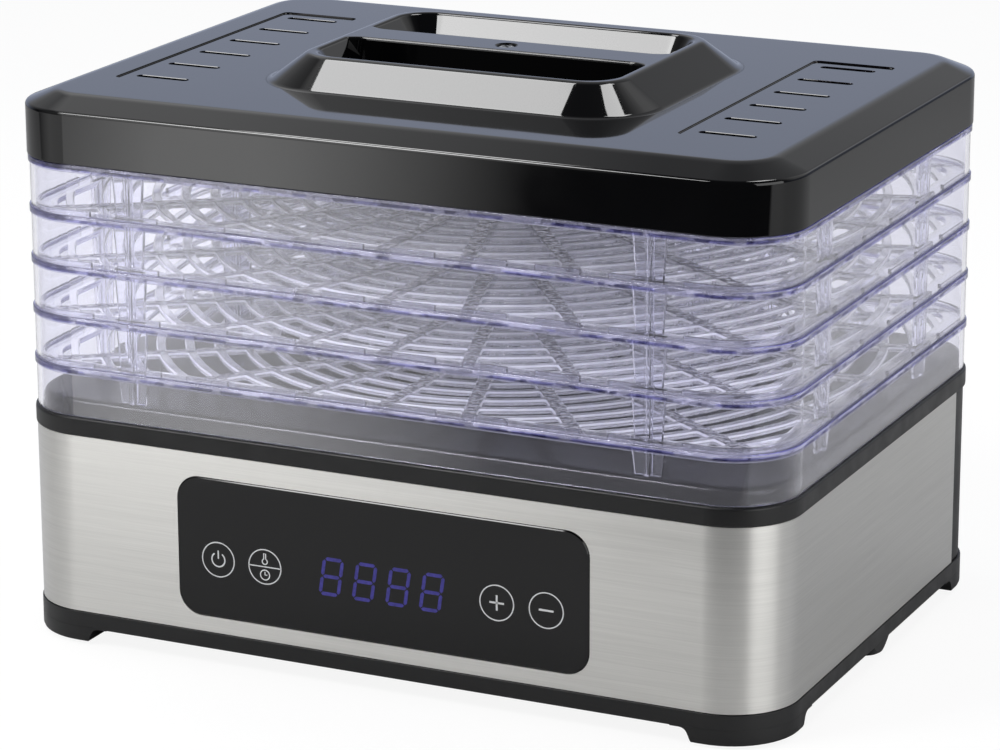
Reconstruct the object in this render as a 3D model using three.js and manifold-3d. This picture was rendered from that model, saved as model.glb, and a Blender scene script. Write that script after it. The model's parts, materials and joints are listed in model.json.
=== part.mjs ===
// Food dehydrator: a heated fan base, five clear stacking trays and a lid with a sunken handle.
// Millimetres, +Z up, front towards -Y, origin at the centre of the footprint on the table.
import * as THREE from "three";
import { mergeVertices } from "three/addons/utils/BufferGeometryUtils.js";
import Module from "manifold-3d";

const wasm = await Module();
wasm.setup();

// Driving dimensions of the whole
const width = 340;
const depth = 245;
const cornerRadius = 29;
const cornerSteps = 4;
const screwSides = 8;
const roundSides = 16; // flat sides of the middling round pieces
const motorSides = 20;
const coilSides = 24;
const restGap = 0.3; // air left between pieces that rest on or fit in each other
const over = 1; // how far a cutter runs past what it cuts
const sink = 0.5; // how far a joined shape runs into its neighbour
const sliver = 0.1; // keeps a rounded end from closing on itself

// Heights of the stack
const padProtrusion = 1.2; // how far the rubber pads stand out of the feet
const footHeight = 6; // plastic foot below the tub
const bandHeight = 7.3; // black band of the tub under the steel
const steelHeight = 76.6;
const ringHeight = 7.5; // black ring of the deck over the steel
const trayPitch = 21.3;
const lidSideHeight = 21.4;
const chamferRise = 5.2;
const chamferRun = 12.8;
const handleRise = 11.4;

const tubBottom = padProtrusion + footHeight;
const bandTop = tubBottom + bandHeight;
const steelTop = bandTop + steelHeight;
const ringTop = steelTop + ringHeight;
const trayCount = 5;
const lidBottom = ringTop + trayCount * trayPitch;
const lidShoulder = lidBottom + lidSideHeight;
const lidTop = lidShoulder + chamferRise;
const handleTop = lidTop + handleRise;

// Walls of the base
const floorThickness = 2.5;
const steelInset = 0.5;
const steelThickness = 0.8;
const steelRearEdge = 88; // where the steel ends on the sides
const tubWall = 2.2;
const rearInset = 1;
const rearWall = 2.4;
const rearLap = 9; // overlap of the rear panel's lips inside the tub's wall
const rearLipWall = 1.8;
const rearBridge = 3; // web that joins the lips to the panel
const rearVentPitch = 7;
const rearVentCount = 5;
const rearVentLength = 30;
const rearVentWidth = 2.6;
const rearVentX = -20;
const plateauInset = 3.5;
const plateauRise = 7;
const deckWall = 2.2;
const deckPlug = 7; // how far the deck's wall reaches into the tub

const steelInner = steelInset + steelThickness;
const tubWallInset = steelInner + restGap;
const tubInner = tubWallInset + tubWall;
const deckPlugInset = tubInner + restGap;
const deckInner = deckPlugInset + deckWall;
const tubFloor = tubBottom + floorThickness;
const tubWallTop = steelTop - restGap;
const plateauTop = ringTop + plateauRise;
const deckCeiling = plateauTop - deckWall;

// Feet
const footSpan = 34;
const footRadius = 8;
const footTaper = 3;
const footInset = 17; // pad centre from both outlines
const padRadius = 7;
const padThickness = 2.5;
const sideRestRadius = 12;
const sideRestFoot = 8;
const sideRestHeight = 4.4;
const sideRestInset = 8;

// Air path in the middle of the base
const ductInner = 57;
const ductWall = 3.2;
const collarHeight = 26.3;
const grilleHub = 13;
const grilleSlotWidth = 15;
const grillePitch = 21;
const grilleRings = 2;
const grilleSectors = 8;
const grilleRib = 5;
const ductOuter = ductInner + ductWall;
const collarTop = tubFloor + collarHeight;

// Fan
const bracketPost = 6;
const bracketHalfLength = 50;
const bracketHalfWidth = 9;
const bracketThickness = 1.5;
const bracketScrewPlace = 44;
const motorRadius = 21;
const motorHeight = 22;
const shaftRadius = 2.5;
const shaftPlay = 0.3;
const hubRadius = 14;
const hubHeight = 14;
const hubLift = 4; // impeller above the motor
const bladeCount = 7;
const bladeTip = 52;
const bladeChord = 22;
const bladeThickness = 1.8;
const bladePitch = 33; // degrees
const bladeRoot = 4; // how far a blade runs into the hub
const nutRadius = 5;
const nutHeight = 3.5;
const bracketBottom = tubFloor + bracketPost + restGap;
const bracketTop = bracketBottom + bracketThickness;
const motorBottom = bracketTop + restGap;
const motorTop = motorBottom + motorHeight;
const hubBottom = motorTop + hubLift;
const hubTop = hubBottom + hubHeight;

// Heater
const heaterLift = 10; // frame above the impeller
const heaterLug = 6;
const heaterLugs = 4;
const heaterPlay = 0.9; // frame to duct
const heaterFrameHeight = 17;
const micaThickness = 1;
const coilRadii = [24, 42];
const coilTube = 2.4;
const heaterBottom = hubTop + heaterLift;
const heaterTop = heaterBottom + heaterFrameHeight;
const coilCentre = heaterTop - coilTube;

// Control panel and board
const panelWidth = 183.6;
const panelHeight = 59.2;
const panelCornerRadius = 10;
const panelLift = 7; // above the lower edge of the steel
const panelShift = 0.6; // centre, to the right
const panelThickness = 1.3;
const windowWidth = 68;
const windowHeight = 20;
const displayDepth = 8;
const displayGap = 0.4;
const touchPlaces = { power: -72.7, mode: -51.2, plus: 52.7, minus: 74.2 };
const touchLift = 32.1; // circle centres above the lower edge of the steel
const springRadius = 4;
const boardThickness = 1.6;
const controlBoardHeight = 44;
const boardPostRadius = 3;
const boardPostGap = 0.8; // from the hole of the outermost touch spring
const boardEdge = 1; // board beyond a post
const frontFace = -depth / 2;
const panelBack = frontFace + panelThickness;
const tubFront = frontFace + tubWallInset;
const tubFrontInner = frontFace + tubInner;
const boardFront = tubFront + displayDepth + restGap;
const boardBack = boardFront + boardThickness;
const touchHeight = bandTop + touchLift;
const touchReach = Math.max(...Object.values(touchPlaces).map(Math.abs));
const controlPostX = touchReach + springRadius + boardPostGap + boardPostRadius + restGap;
const controlBoardWidth = 2 * (controlPostX + boardPostRadius + boardEdge);

// Power board
const powerBoardInset = 43; // middle of the board from the left side
const powerBoardX = -width / 2 + powerBoardInset;
const powerBoardWidth = 58;
const powerBoardDepth = 116;
const powerBoardPost = 6;
const powerBoardBottom = tubFloor + powerBoardPost + restGap;
const powerBoardTop = powerBoardBottom + boardThickness;
const onBoard = powerBoardTop + restGap;

// Electrical pieces: middle, width, depth or radius, and height
const transformer = { x: powerBoardX - 3, y: 18, w: 36, d: 32, h: 30 };
const relay = { x: powerBoardX + 9, y: -20, w: 20, d: 16, h: 16 };
const capacitor = { x: powerBoardX + 19, y: 48, r: 5, h: 18 };
const terminal = { x: width / 2 - 62, y: depth / 2 - 30.5, w: 36, d: 18, h: 14 };
const buzzer = { x: -30, r: 6, h: 7 };
const cutout = { x: 14, w: 12, d: 6, h: 10 };
const sensor = { w: 6, d: 4, h: 10 };

// Screws
const screwRadius = 1.5;
const screwPlay = 0.3;
const screwHeadRadius = 3.4;
const screwHeadHeight = 2.2;
const bossRadius = 4.5;
const deckSocketRadius = 5.5; // tub post round a deck screw
const deckScrewInset = { x: 30, y: 34.5 }; // from the outline
const deckPostBottom = 40;
const deckScrewGrip = 11; // how far a deck screw runs into its post
const deckScrewX = width / 2 - deckScrewInset.x;
const deckScrewY = depth / 2 - deckScrewInset.y;
const screwSeat = tubFloor + screwHeadHeight + restGap; // the deck screws' heads bear here

// Leads inside the base
const leadNotchDepth = 6; // notch in the collar's top edge for the motor's lead
const leadNotchWidth = 8;
const leadNotch = collarTop - leadNotchDepth;
const heaterLeadHole = 2.4;
const heaterLeadHeight = heaterBottom + heaterLug;
const leadRadius = 1.4;
const leadSides = 6;
const leadSteps = 12;
const leadEdge = 4; // from the board's edge to where the leads leave it
const leadLean = 1; // sideways as they rise
const leadX = powerBoardX + powerBoardWidth / 2 - leadEdge;
const leadHalfway = (leadX - ductOuter) / 2; // between the board and the duct
const panelLeadX = -controlBoardWidth / 2 + 10;
const panelLeadHeight = touchHeight - 10;

// Cord inlet
const glandX = width / 2 - 60;
const glandHeight = 30;
const glandRadius = 6;
const glandFlangeRadius = 9;
const glandFlange = 0.7;
const glandLength = 8;
const glandBore = 3.8;
const glandSides = 16;

// Trays
const trayInset = 0.3;
const skirtInset = 1;
const skirtWall = 1.8;
const rimHeight = 3.1;
const trayFloor = 2.2;
const lipHeight = 2;
const lipWall = 1.6;
const slotWidth = 14;
const slotPitch = 28;
const firstSlot = 24;
const slotRings = 5;
const slotSectors = 8;
const slotRib = 8;
const slotMargin = 8; // plain floor along the skirt
const slotCornerMargin = 12.8; // and more of it at the corners
const legWidth = 14.5;
const legTaper = 1.5;
const legThickness = 2;
const legInset = { x: 8.5, y: 8 }; // of the outer legs, from the outline
const legPlaces = [
  { x: 114.3, y: depth / 2 - legInset.y, along: "x" },
  { x: 103, y: 46, along: "x" },
  { x: width / 2 - legInset.x, y: 57, along: "y" },
];

// Lid
const lidWall = 2.4;
const lidPlate = 2.5;
const ventCount = 6;
const ventPitch = 26.4;
const ventLength = 24;
const ventWidth = 1.8;
const ventX = 125.5;
const ventFieldLength = 36;
const ventFieldWidth = 150;
const ventFieldDepth = 0.8;
const ventFieldRadius = 2;

// Handle moulding
const handleBase = { x: 88, y: 70, r: 32 };
const handleInset = 17; // from the base to the crest on every side
const handleWall = 2.2;
const barHalfWidth = 9.8;
const barWall = 2;
const crestWidth = 3.5; // ridge round the basin
const basinRadius = 14;
const basinTaper = 12; // how far the basin's walls come in on their way down
const basinDepth = 19;
const basinWall = 2;
const handleScrewHead = 4; // radius
const handleScrewSink = 3; // depth of the counterbore in the bar
const handleSocket = 6.4; // solid depth round the screw under the bar's top
const handleBossHeight = handleRise - handleSocket - restGap;
const crest = {
  x: handleBase.x - handleInset,
  y: handleBase.y - handleInset,
};
const basin = {
  x: crest.x - crestWidth,
  y: crest.y - crestWidth,
};
const handleBottom = lidTop + restGap;
const basinFloor = handleTop - basinDepth;
const barHollow = barHalfWidth - barWall;

// ---------------------------------------------------------------- shapes

function roundedOutline(w, d, r, steps = cornerSteps) {
  const points = [];
  const corners = [
    [1, 1, 0],
    [-1, 1, 90],
    [-1, -1, 180],
    [1, -1, 270],
  ];
  for (const [sx, sy, start] of corners) {
    for (let i = 0; i <= steps; i++) {
      const a = THREE.MathUtils.degToRad(start + (90 * i) / steps);
      points.push(
        new THREE.Vector2(
          sx * (w / 2 - r) + r * Math.cos(a),
          sy * (d / 2 - r) + r * Math.sin(a),
        ),
      );
    }
  }
  return points;
}

// A closed three.js geometry as a manifold-3d solid.
function solid(geometry) {
  const g = geometry.clone();
  g.deleteAttribute("normal");
  g.deleteAttribute("uv");
  const merged = mergeVertices(g, 1e-4);
  return new wasm.Manifold(
    new wasm.Mesh({
      numProp: 3,
      vertProperties: new Float32Array(merged.attributes.position.array),
      triVerts: new Uint32Array(merged.index.array),
    }),
  );
}

function extruded(points, height) {
  return new THREE.ExtrudeGeometry(new THREE.Shape(points), {
    depth: height,
    bevelEnabled: false,
    steps: 1,
  });
}

// Upright prism over an outline.
function prism(points, z0, z1, x = 0, y = 0) {
  return solid(extruded(points, z1 - z0).translate(x, y, z0));
}

// Prism over an outline drawn in X and Z, from y0 to y1.
function prismY(points, y0, y1) {
  return solid(extruded(points, y1 - y0).rotateX(Math.PI / 2).translate(0, y1, 0));
}

// Prism over an outline drawn in Y and Z, from x0 to x1.
function prismX(points, x0, x1) {
  return solid(
    extruded(points, x1 - x0)
      .rotateX(Math.PI / 2)
      .rotateZ(Math.PI / 2)
      .translate(x0, 0, 0),
  );
}

// Rounded block whose outline shrinks by inset from z0 to z1 (or grows, if inset is negative).
function tapered({ w, d, r, z0, z1, inset, x = 0, y = 0, steps = cornerSteps }) {
  const g = extruded(roundedOutline(w, d, r, steps), z1 - z0);
  const p = g.attributes.position;
  for (let i = 0; i < p.count; i++) {
    if (p.getZ(i) > (z1 - z0) / 2) {
      const cx = Math.sign(p.getX(i)) * (w / 2 - r);
      const cy = Math.sign(p.getY(i)) * (d / 2 - r);
      const k = (r - inset) / r;
      p.setXY(i, cx + (p.getX(i) - cx) * k, cy + (p.getY(i) - cy) * k);
    }
  }
  return solid(g.translate(x, y, z0));
}

function block(x0, x1, y0, y1, z0, z1) {
  return solid(
    new THREE.BoxGeometry(x1 - x0, y1 - y0, z1 - z0).translate(
      (x0 + x1) / 2,
      (y0 + y1) / 2,
      (z0 + z1) / 2,
    ),
  );
}

// Upright cylinder or, with two radii, cone.
function disc(radius, z0, z1, x = 0, y = 0, sides = 10, topRadius = radius) {
  return solid(
    new THREE.CylinderGeometry(topRadius, radius, z1 - z0, sides)
      .rotateX(Math.PI / 2)
      .translate(x, y, (z0 + z1) / 2),
  );
}

// Hole for a screw's shank.
function screwHole(z0, z1, x = 0, y = 0) {
  return disc(screwRadius + screwPlay, z0, z1, x, y, screwSides);
}

// Hole that the motor's shaft turns in.
function shaftHole(z0, z1) {
  return disc(shaftRadius + shaftPlay, z0 - over, z1 + over, 0, 0, roundSides);
}

// Cylinder along Y.
function rod(radius, x, z, y0, y1, sides = 10) {
  return solid(
    new THREE.CylinderGeometry(radius, radius, y1 - y0, sides).translate(x, (y0 + y1) / 2, z),
  );
}

function tube(outer, inner, z0, z1, sides = 32) {
  return disc(outer, z0, z1, 0, 0, sides).subtract(disc(inner, z0 - over, z1 + over, 0, 0, sides));
}

const union = (...parts) => parts.reduce((a, b) => a.add(b));
const cut = (from, ...parts) => parts.reduce((a, b) => a.subtract(b), from);

// The outline of the whole object, set in by a distance.
function body(inset, z0, z1, steps = cornerSteps) {
  const r = cornerRadius - inset;
  return prism(roundedOutline(width - 2 * inset, depth - 2 * inset, r, steps), z0, z1);
}

function shell(outerInset, innerInset, z0, z1) {
  return cut(body(outerInset, z0, z1), body(innerInset, z0 - over, z1 + over));
}

// The part of a ring between two radii and two angles, with straight sides, as four points.
function sector(inner, outer, from, to, rib) {
  const corner = (radius, angle, side) => {
    const a = angle + (side * rib) / 2 / radius;
    return new THREE.Vector2(radius * Math.cos(a), radius * Math.sin(a));
  };
  return [
    corner(inner, from, 1),
    corner(outer, from, 1),
    corner(outer, to, -1),
    corner(inner, to, -1),
  ];
}

// Slots in rings round the middle, as outlines. keep says whether one is wanted.
function ringSlots({ first, pitch, slot, rings, sectors, rib, keep = () => true }) {
  const slots = [];
  for (let ring = 0; ring < rings; ring++) {
    const inner = first + ring * pitch;
    for (let i = 0; i < sectors; i++) {
      const from = (2 * Math.PI * i) / sectors;
      const to = (2 * Math.PI * (i + 1)) / sectors;
      const points = sector(inner, inner + slot, from, to, rib);
      if (points.every(keep)) slots.push(points);
    }
  }
  return slots;
}

function cutSlots(plate, slots, z0, z1) {
  return slots.reduce((left, points) => left.subtract(prism(points, z0, z1)), plate);
}

const corners = [
  [-1, -1],
  [1, -1],
  [-1, 1],
  [1, 1],
];
const cornerName = (sx, sy) => `${sy < 0 ? "front" : "rear"}_${sx < 0 ? "left" : "right"}`;

// ---------------------------------------------------------------- materials

function finish(color, roughness, metalness, opacity = 1) {
  const material = new THREE.MeshStandardMaterial({ color, roughness, metalness });
  material.transparent = opacity < 1;
  material.opacity = opacity;
  return material;
}

const finishes = {
  satinBlack: [0x1b1b1c, 0.45, 0],
  glossBlack: [0x0d0d10, 0.12, 0],
  deckBlack: [0x2a2b2d, 0.28, 0],
  steel: [0xc4c2bf, 0.38, 1],
  panel: [0x101114, 0.1, 0],
  clear: [0xdfe2f4, 0.08, 0, 0.35],
  board: [0x1f5a3a, 0.5, 0],
  display: [0x2b2b3a, 0.3, 0],
  zinc: [0xb8b9ba, 0.4, 1],
  copper: [0xb0703c, 0.4, 1],
  mica: [0xb9a98a, 0.6, 0],
  nickel: [0x8b8680, 0.4, 1],
  rubber: [0x161616, 0.9, 0],
  white: [0xe6e4de, 0.5, 0],
};

const dehydrator = new THREE.Group();

function add(name, shape, finishName) {
  const mesh = shape.getMesh();
  const geometry = new THREE.BufferGeometry();
  geometry.setAttribute("position", new THREE.BufferAttribute(mesh.vertProperties, 3));
  geometry.setIndex(new THREE.BufferAttribute(mesh.triVerts, 1));
  geometry.computeVertexNormals();
  const object = new THREE.Mesh(geometry, finish(...finishes[finishName]));
  object.name = name;
  dehydrator.add(object);
}

// ---------------------------------------------------------------- base housing

function intakeSlots() {
  return ringSlots({
    first: grilleHub,
    pitch: grillePitch,
    slot: grilleSlotWidth,
    rings: grilleRings,
    sectors: grilleSectors,
    rib: grilleRib,
  });
}

function panelOutline(inset) {
  const points = roundedOutline(
    panelWidth - 2 * inset,
    panelHeight - 2 * inset,
    panelCornerRadius - inset,
    4,
  );
  const centre = new THREE.Vector2(panelShift, bandTop + panelLift + panelHeight / 2);
  return points.map((p) => p.add(centre));
}

const controlPosts = [-1, 1].map((s) => [s * controlPostX, touchHeight]);
const powerPosts = [-1, 1].map((s) => [
  powerBoardX - powerBoardWidth / 2 + bossRadius + boardEdge,
  s * (powerBoardDepth / 2 - bossRadius - boardEdge),
]);

function baseTub() {
  const cavity = body(tubInner, tubFloor, steelTop);
  const frontWall = cut(
    body(tubWallInset, bandTop - restGap, tubWallTop),
    block(-width, width, steelRearEdge, depth, bandTop - restGap, steelTop),
  );
  let tub = cut(union(body(0, tubBottom, bandTop - restGap), frontWall), cavity);

  const outline = body(0, 0, tubBottom + over);
  for (const [sx, sy] of corners) {
    const foot = tapered({
      w: 2 * footSpan,
      d: 2 * footSpan,
      r: footRadius,
      z0: padProtrusion,
      z1: tubBottom + sink,
      inset: -footTaper,
      x: sx * (width / 2),
      y: sy * (depth / 2),
      steps: 3,
    });
    const padX = sx * (width / 2 - footInset);
    const padY = sy * (depth / 2 - footInset);
    tub = tub.add(foot.intersect(outline));
    tub = tub.subtract(
      disc(padRadius + restGap, 0, padThickness + restGap, padX, padY, roundSides),
    );
  }
  for (const side of [-1, 1]) {
    const x = side * (width / 2 - sideRestInset);
    const low = tubBottom - sideRestHeight;
    const bump = disc(sideRestFoot, low, tubBottom + sink, x, 0, roundSides, sideRestRadius);
    tub = tub.add(bump.intersect(outline));
  }

  // Windows behind the control panel
  const windowX = windowWidth / 2;
  const windowLow = touchHeight - windowHeight / 2;
  const windowTop = windowLow + windowHeight;
  tub = tub.subtract(block(-windowX, windowX, frontFace, boardFront, windowLow, windowTop));
  for (const x of Object.values(touchPlaces)) {
    tub = tub.subtract(rod(springRadius + restGap, x, touchHeight, frontFace, boardFront));
  }
  for (const [x, z] of controlPosts) {
    tub = tub.add(rod(boardPostRadius, x, z, tubFrontInner - sink, boardFront - restGap));
    tub = tub.subtract(rod(screwRadius + screwPlay, x, z, tubFrontInner, boardFront));
  }

  // Fan collar with its intake grille and the motor's posts
  tub = tub.add(tube(ductOuter, ductInner, tubFloor - sink, collarTop));
  tub = cutSlots(tub, intakeSlots(), tubBottom - over, tubFloor + over);
  for (const side of [-1, 1]) {
    const x = side * bracketScrewPlace;
    tub = tub.add(disc(bossRadius, tubBottom, tubFloor + bracketPost, x, 0));
    tub = tub.subtract(screwHole(tubFloor, tubFloor + bracketPost + over, x, 0));
  }
  const notchHalf = leadNotchWidth / 2;
  tub = tub.subtract(
    block(-ductOuter - over, -ductInner + over, -notchHalf, notchHalf, leadNotch, collarTop + over),
  );

  // Posts of the power board and of the deck screws
  for (const [x, y] of powerPosts) {
    tub = tub.add(disc(bossRadius, tubFloor - sink, tubFloor + powerBoardPost, x, y));
    tub = tub.subtract(screwHole(tubFloor, tubFloor + powerBoardPost + over, x, y));
  }
  for (const [sx, sy] of corners) {
    const x = sx * deckScrewX;
    const y = sy * deckScrewY;
    tub = tub.add(disc(deckSocketRadius, tubFloor - sink, deckPostBottom - restGap, x, y));
    tub = tub.subtract(disc(screwHeadRadius + screwPlay, 0, screwSeat, x, y));
    tub = tub.subtract(screwHole(0, deckPostBottom + over, x, y));
  }
  return tub;
}

function steelWrap() {
  const sheet = cut(
    shell(steelInset, steelInner, bandTop, steelTop - restGap),
    block(-width, width, steelRearEdge, depth, 0, ringTop),
  );
  return sheet.subtract(prismY(panelOutline(-restGap), frontFace - over, tubFront + over));
}

function rearPanel() {
  const rearStart = steelRearEdge + restGap;
  const behind = (y) => block(-width, width, y, depth, 0, ringTop);
  const outer = shell(rearInset, rearInset + rearWall, bandTop, steelTop - restGap).intersect(
    behind(rearStart),
  );
  const lipOuter = tubInner + restGap;
  const lipTop = steelTop - deckPlug - 2 * restGap;
  const lip = shell(lipOuter, lipOuter + rearLipWall, bandTop, lipTop);
  const bridge = shell(rearInset, lipOuter + rearLipWall, bandTop, lipTop);
  const bridgeEnd = rearStart + rearBridge;
  const lips = cut(lip.intersect(behind(steelRearEdge - rearLap)), behind(bridgeEnd));
  const join = cut(bridge.intersect(behind(rearStart)), behind(bridgeEnd));
  let panel = union(outer, lips, join);
  const cutFrom = depth / 2 - tubInner - rearWall;
  const middle = bandTop + steelHeight / 2;
  for (let i = 0; i < rearVentCount; i++) {
    const z = middle + (i - (rearVentCount - 1) / 2) * rearVentPitch;
    const slot = roundedOutline(rearVentLength, rearVentWidth, rearVentWidth / 2 - sliver, 1).map((p) =>
      p.add(new THREE.Vector2(rearVentX, z)),
    );
    panel = panel.subtract(prismY(slot, cutFrom, depth / 2));
  }
  return panel.subtract(
    rod(glandRadius + restGap, glandX, glandHeight, cutFrom, depth / 2, glandSides),
  );
}

function topDeck() {
  const skin = union(body(0, steelTop, ringTop), body(plateauInset, ringTop - sink, plateauTop));
  const plug = body(deckPlugInset, steelTop - deckPlug, steelTop + sink);
  let deck = cut(union(skin, plug), body(deckInner, steelTop - deckPlug - over, deckCeiling));
  deck = cutSlots(deck, intakeSlots(), deckCeiling - over, plateauTop + over);
  for (const [sx, sy] of corners) {
    const x = sx * deckScrewX;
    const y = sy * deckScrewY;
    deck = deck.add(disc(bossRadius, deckPostBottom, deckCeiling + sink, x, y));
    deck = deck.subtract(screwHole(deckPostBottom - over, deckPostBottom + deckScrewGrip + over, x, y));
  }
  return deck;
}

add("base_tub", baseTub(), "satinBlack");
add("steel_wrap", steelWrap(), "steel");
add("rear_panel", rearPanel(), "satinBlack");
add("top_deck", topDeck(), "deckBlack");

for (const [sx, sy] of corners) {
  const x = sx * (width / 2 - footInset);
  const y = sy * (depth / 2 - footInset);
  add(`foot_pad_${cornerName(sx, sy)}`, disc(padRadius, 0, padThickness, x, y, roundSides), "rubber");
  const screwX = sx * deckScrewX;
  const screwY = sy * deckScrewY;
  const headTop = screwSeat - restGap;
  const screw = union(
    disc(screwHeadRadius, headTop - screwHeadHeight, headTop, screwX, screwY),
    disc(screwRadius, headTop - sink, deckPostBottom + deckScrewGrip, screwX, screwY, screwSides),
  );
  add(`deck_screw_${cornerName(sx, sy)}`, screw, "zinc");
}

function cordGland() {
  const panelOuter = depth / 2 - rearInset;
  const panelInner = panelOuter - rearWall;
  const end = panelOuter - glandLength;
  const along = (radius, y0, y1) => rod(radius, glandX, glandHeight, y0, y1, glandSides);
  const gland = union(
    along(glandFlangeRadius, depth / 2 - glandFlange, depth / 2),
    along(glandRadius, end, depth / 2),
    along(glandFlangeRadius, end, panelInner - restGap),
  );
  return gland.subtract(along(glandBore, 0, depth));
}
add("cord_gland", cordGland(), "rubber");

// ---------------------------------------------------------------- controls

add("control_panel", prismY(panelOutline(0), frontFace, panelBack), "panel");

function controlBoard() {
  const z0 = touchHeight - controlBoardHeight / 2;
  let board = block(
    -controlBoardWidth / 2,
    controlBoardWidth / 2,
    boardFront,
    boardBack,
    z0,
    z0 + controlBoardHeight,
  );
  for (const [x, z] of controlPosts) {
    board = board.subtract(rod(screwRadius + screwPlay, x, z, boardFront - over, boardBack + over));
  }
  return board;
}
add("control_board", controlBoard(), "board");

for (const [i, [x, z]] of controlPosts.entries()) {
  const seat = boardBack + restGap;
  const screw = union(
    rod(boardPostRadius, x, z, seat, seat + screwHeadHeight),
    rod(screwRadius, x, z, tubFrontInner + over, seat + sink),
  );
  add(`control_board_screw_${["left", "right"][i]}`, screw, "zinc");
}

add(
  "display_module",
  block(
    -windowWidth / 2 + displayGap,
    windowWidth / 2 - displayGap,
    panelBack + restGap,
    boardFront - restGap,
    touchHeight - windowHeight / 2 + displayGap,
    touchHeight + windowHeight / 2 - displayGap,
  ),
  "display",
);
for (const [key, x] of Object.entries(touchPlaces)) {
  const spring = rod(springRadius, x, touchHeight, panelBack + restGap, boardFront - restGap);
  add(`touch_spring_${key}`, spring, "nickel");
}
const buzzerBack = boardBack + restGap;
add(
  "buzzer",
  rod(buzzer.r, buzzer.x, touchHeight, buzzerBack, buzzerBack + buzzer.h, roundSides),
  "rubber",
);

// ---------------------------------------------------------------- power board

function powerBoard() {
  let board = block(
    powerBoardX - powerBoardWidth / 2,
    powerBoardX + powerBoardWidth / 2,
    -powerBoardDepth / 2,
    powerBoardDepth / 2,
    powerBoardBottom,
    powerBoardTop,
  );
  for (const [x, y] of powerPosts) {
    board = board.subtract(screwHole(powerBoardBottom - over, powerBoardTop + over, x, y));
  }
  return board;
}
add("power_board", powerBoard(), "board");

for (const [i, [x, y]] of powerPosts.entries()) {
  const head = powerBoardTop + restGap;
  const screw = union(
    disc(screwHeadRadius, head, head + screwHeadHeight, x, y),
    disc(screwRadius, tubFloor + over, head + sink, x, y, screwSides),
  );
  add(`power_board_screw_${["front", "rear"][i]}`, screw, "zinc");
}


function boxOn({ x, y, w, d, h }, z) {
  return block(x - w / 2, x + w / 2, y - d / 2, y + d / 2, z, z + h);
}
add("transformer", boxOn(transformer, onBoard), "copper");
add("relay", boxOn(relay, onBoard), "white");
add(
  "filter_capacitor",
  disc(capacitor.r, onBoard, onBoard + capacitor.h, capacitor.x, capacitor.y),
  "white",
);
add("terminal_block", boxOn(terminal, tubFloor + restGap), "white");

// ---------------------------------------------------------------- fan and heater

function airDuct() {
  const top = deckCeiling - restGap;
  let duct = tube(ductOuter, ductInner, collarTop + restGap, top);
  for (let i = 0; i < heaterLugs; i++) {
    const lug = block(
      ductInner - heaterLug,
      ductInner + sink,
      -heaterLug / 2,
      heaterLug / 2,
      heaterBottom - heaterLug,
      heaterBottom - restGap,
    );
    duct = duct.add(lug.rotate([0, 0, (360 / heaterLugs) * i]));
  }
  const leadHole = disc(heaterLeadHole, -ductOuter - over, -ductInner + over)
    .rotate([0, 90, 0])
    .translate([0, 0, heaterLeadHeight]);
  return duct.subtract(leadHole);
}
add("air_duct", airDuct(), "zinc");

function motorBracket() {
  const plate = block(
    -bracketHalfLength,
    bracketHalfLength,
    -bracketHalfWidth,
    bracketHalfWidth,
    bracketBottom,
    bracketTop,
  );
  const hole = (x) => screwHole(bracketBottom - over, bracketTop + over, x);
  return cut(
    plate,
    hole(-bracketScrewPlace),
    hole(bracketScrewPlace),
    shaftHole(bracketBottom, bracketTop),
  );
}
add("motor_bracket", motorBracket(), "zinc");

for (const side of [-1, 1]) {
  const x = side * bracketScrewPlace;
  const head = bracketTop + restGap;
  const screw = union(
    disc(screwHeadRadius, head, head + screwHeadHeight, x, 0),
    disc(screwRadius, tubFloor + over, head + sink, x, 0, screwSides),
  );
  add(`bracket_screw_${side < 0 ? "left" : "right"}`, screw, "zinc");
}

add(
  "fan_motor",
  disc(motorRadius, motorBottom, motorTop, 0, 0, motorSides).subtract(
    shaftHole(motorBottom, motorTop),
  ),
  "nickel",
);
const shaftTop = hubTop + nutHeight;
add("motor_shaft", disc(shaftRadius, bracketBottom + restGap, shaftTop, 0, 0, roundSides), "zinc");

function fanImpeller() {
  let impeller = disc(hubRadius, hubBottom, hubTop, 0, 0, motorSides);
  const middle = (hubBottom + hubTop) / 2;
  const length = bladeTip - hubRadius + bladeRoot;
  for (let i = 0; i < bladeCount; i++) {
    const blade = new THREE.BoxGeometry(length, bladeChord, bladeThickness)
      .rotateX(THREE.MathUtils.degToRad(bladePitch))
      .translate(hubRadius - bladeRoot + length / 2, 0, middle)
      .rotateZ((2 * Math.PI * i) / bladeCount);
    impeller = impeller.add(solid(blade));
  }
  return impeller.subtract(shaftHole(hubBottom, hubTop));
}
add("fan_impeller", fanImpeller(), "satinBlack");
add(
  "fan_nut",
  cut(
    disc(nutRadius, hubTop + restGap, hubTop + restGap + nutHeight, 0, 0, 6),
    shaftHole(hubTop, hubTop + nutHeight),
  ),
  "zinc",
);

function heaterFrame() {
  const reach = ductInner - heaterPlay;
  const half = micaThickness / 2;
  let frame = union(
    block(-reach, reach, -half, half, heaterBottom, heaterTop),
    block(-half, half, -reach, reach, heaterBottom, heaterTop),
  );
  const play = coilTube + restGap;
  for (const r of coilRadii) {
    frame = frame.subtract(tube(r + play, r - play, coilCentre - play, heaterTop + over, coilSides));
  }
  return frame;
}
add("heater_frame", heaterFrame(), "mica");

for (const [i, r] of coilRadii.entries()) {
  const profile = new THREE.EllipseCurve(r, 0, coilTube, coilTube).getPoints(leadSides);
  const ring = new THREE.LatheGeometry(profile, coilSides)
    .rotateX(Math.PI / 2)
    .translate(0, 0, coilCentre);
  add(`heater_coil_${["inner", "outer"][i]}`, solid(ring), "nickel");
}

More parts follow.
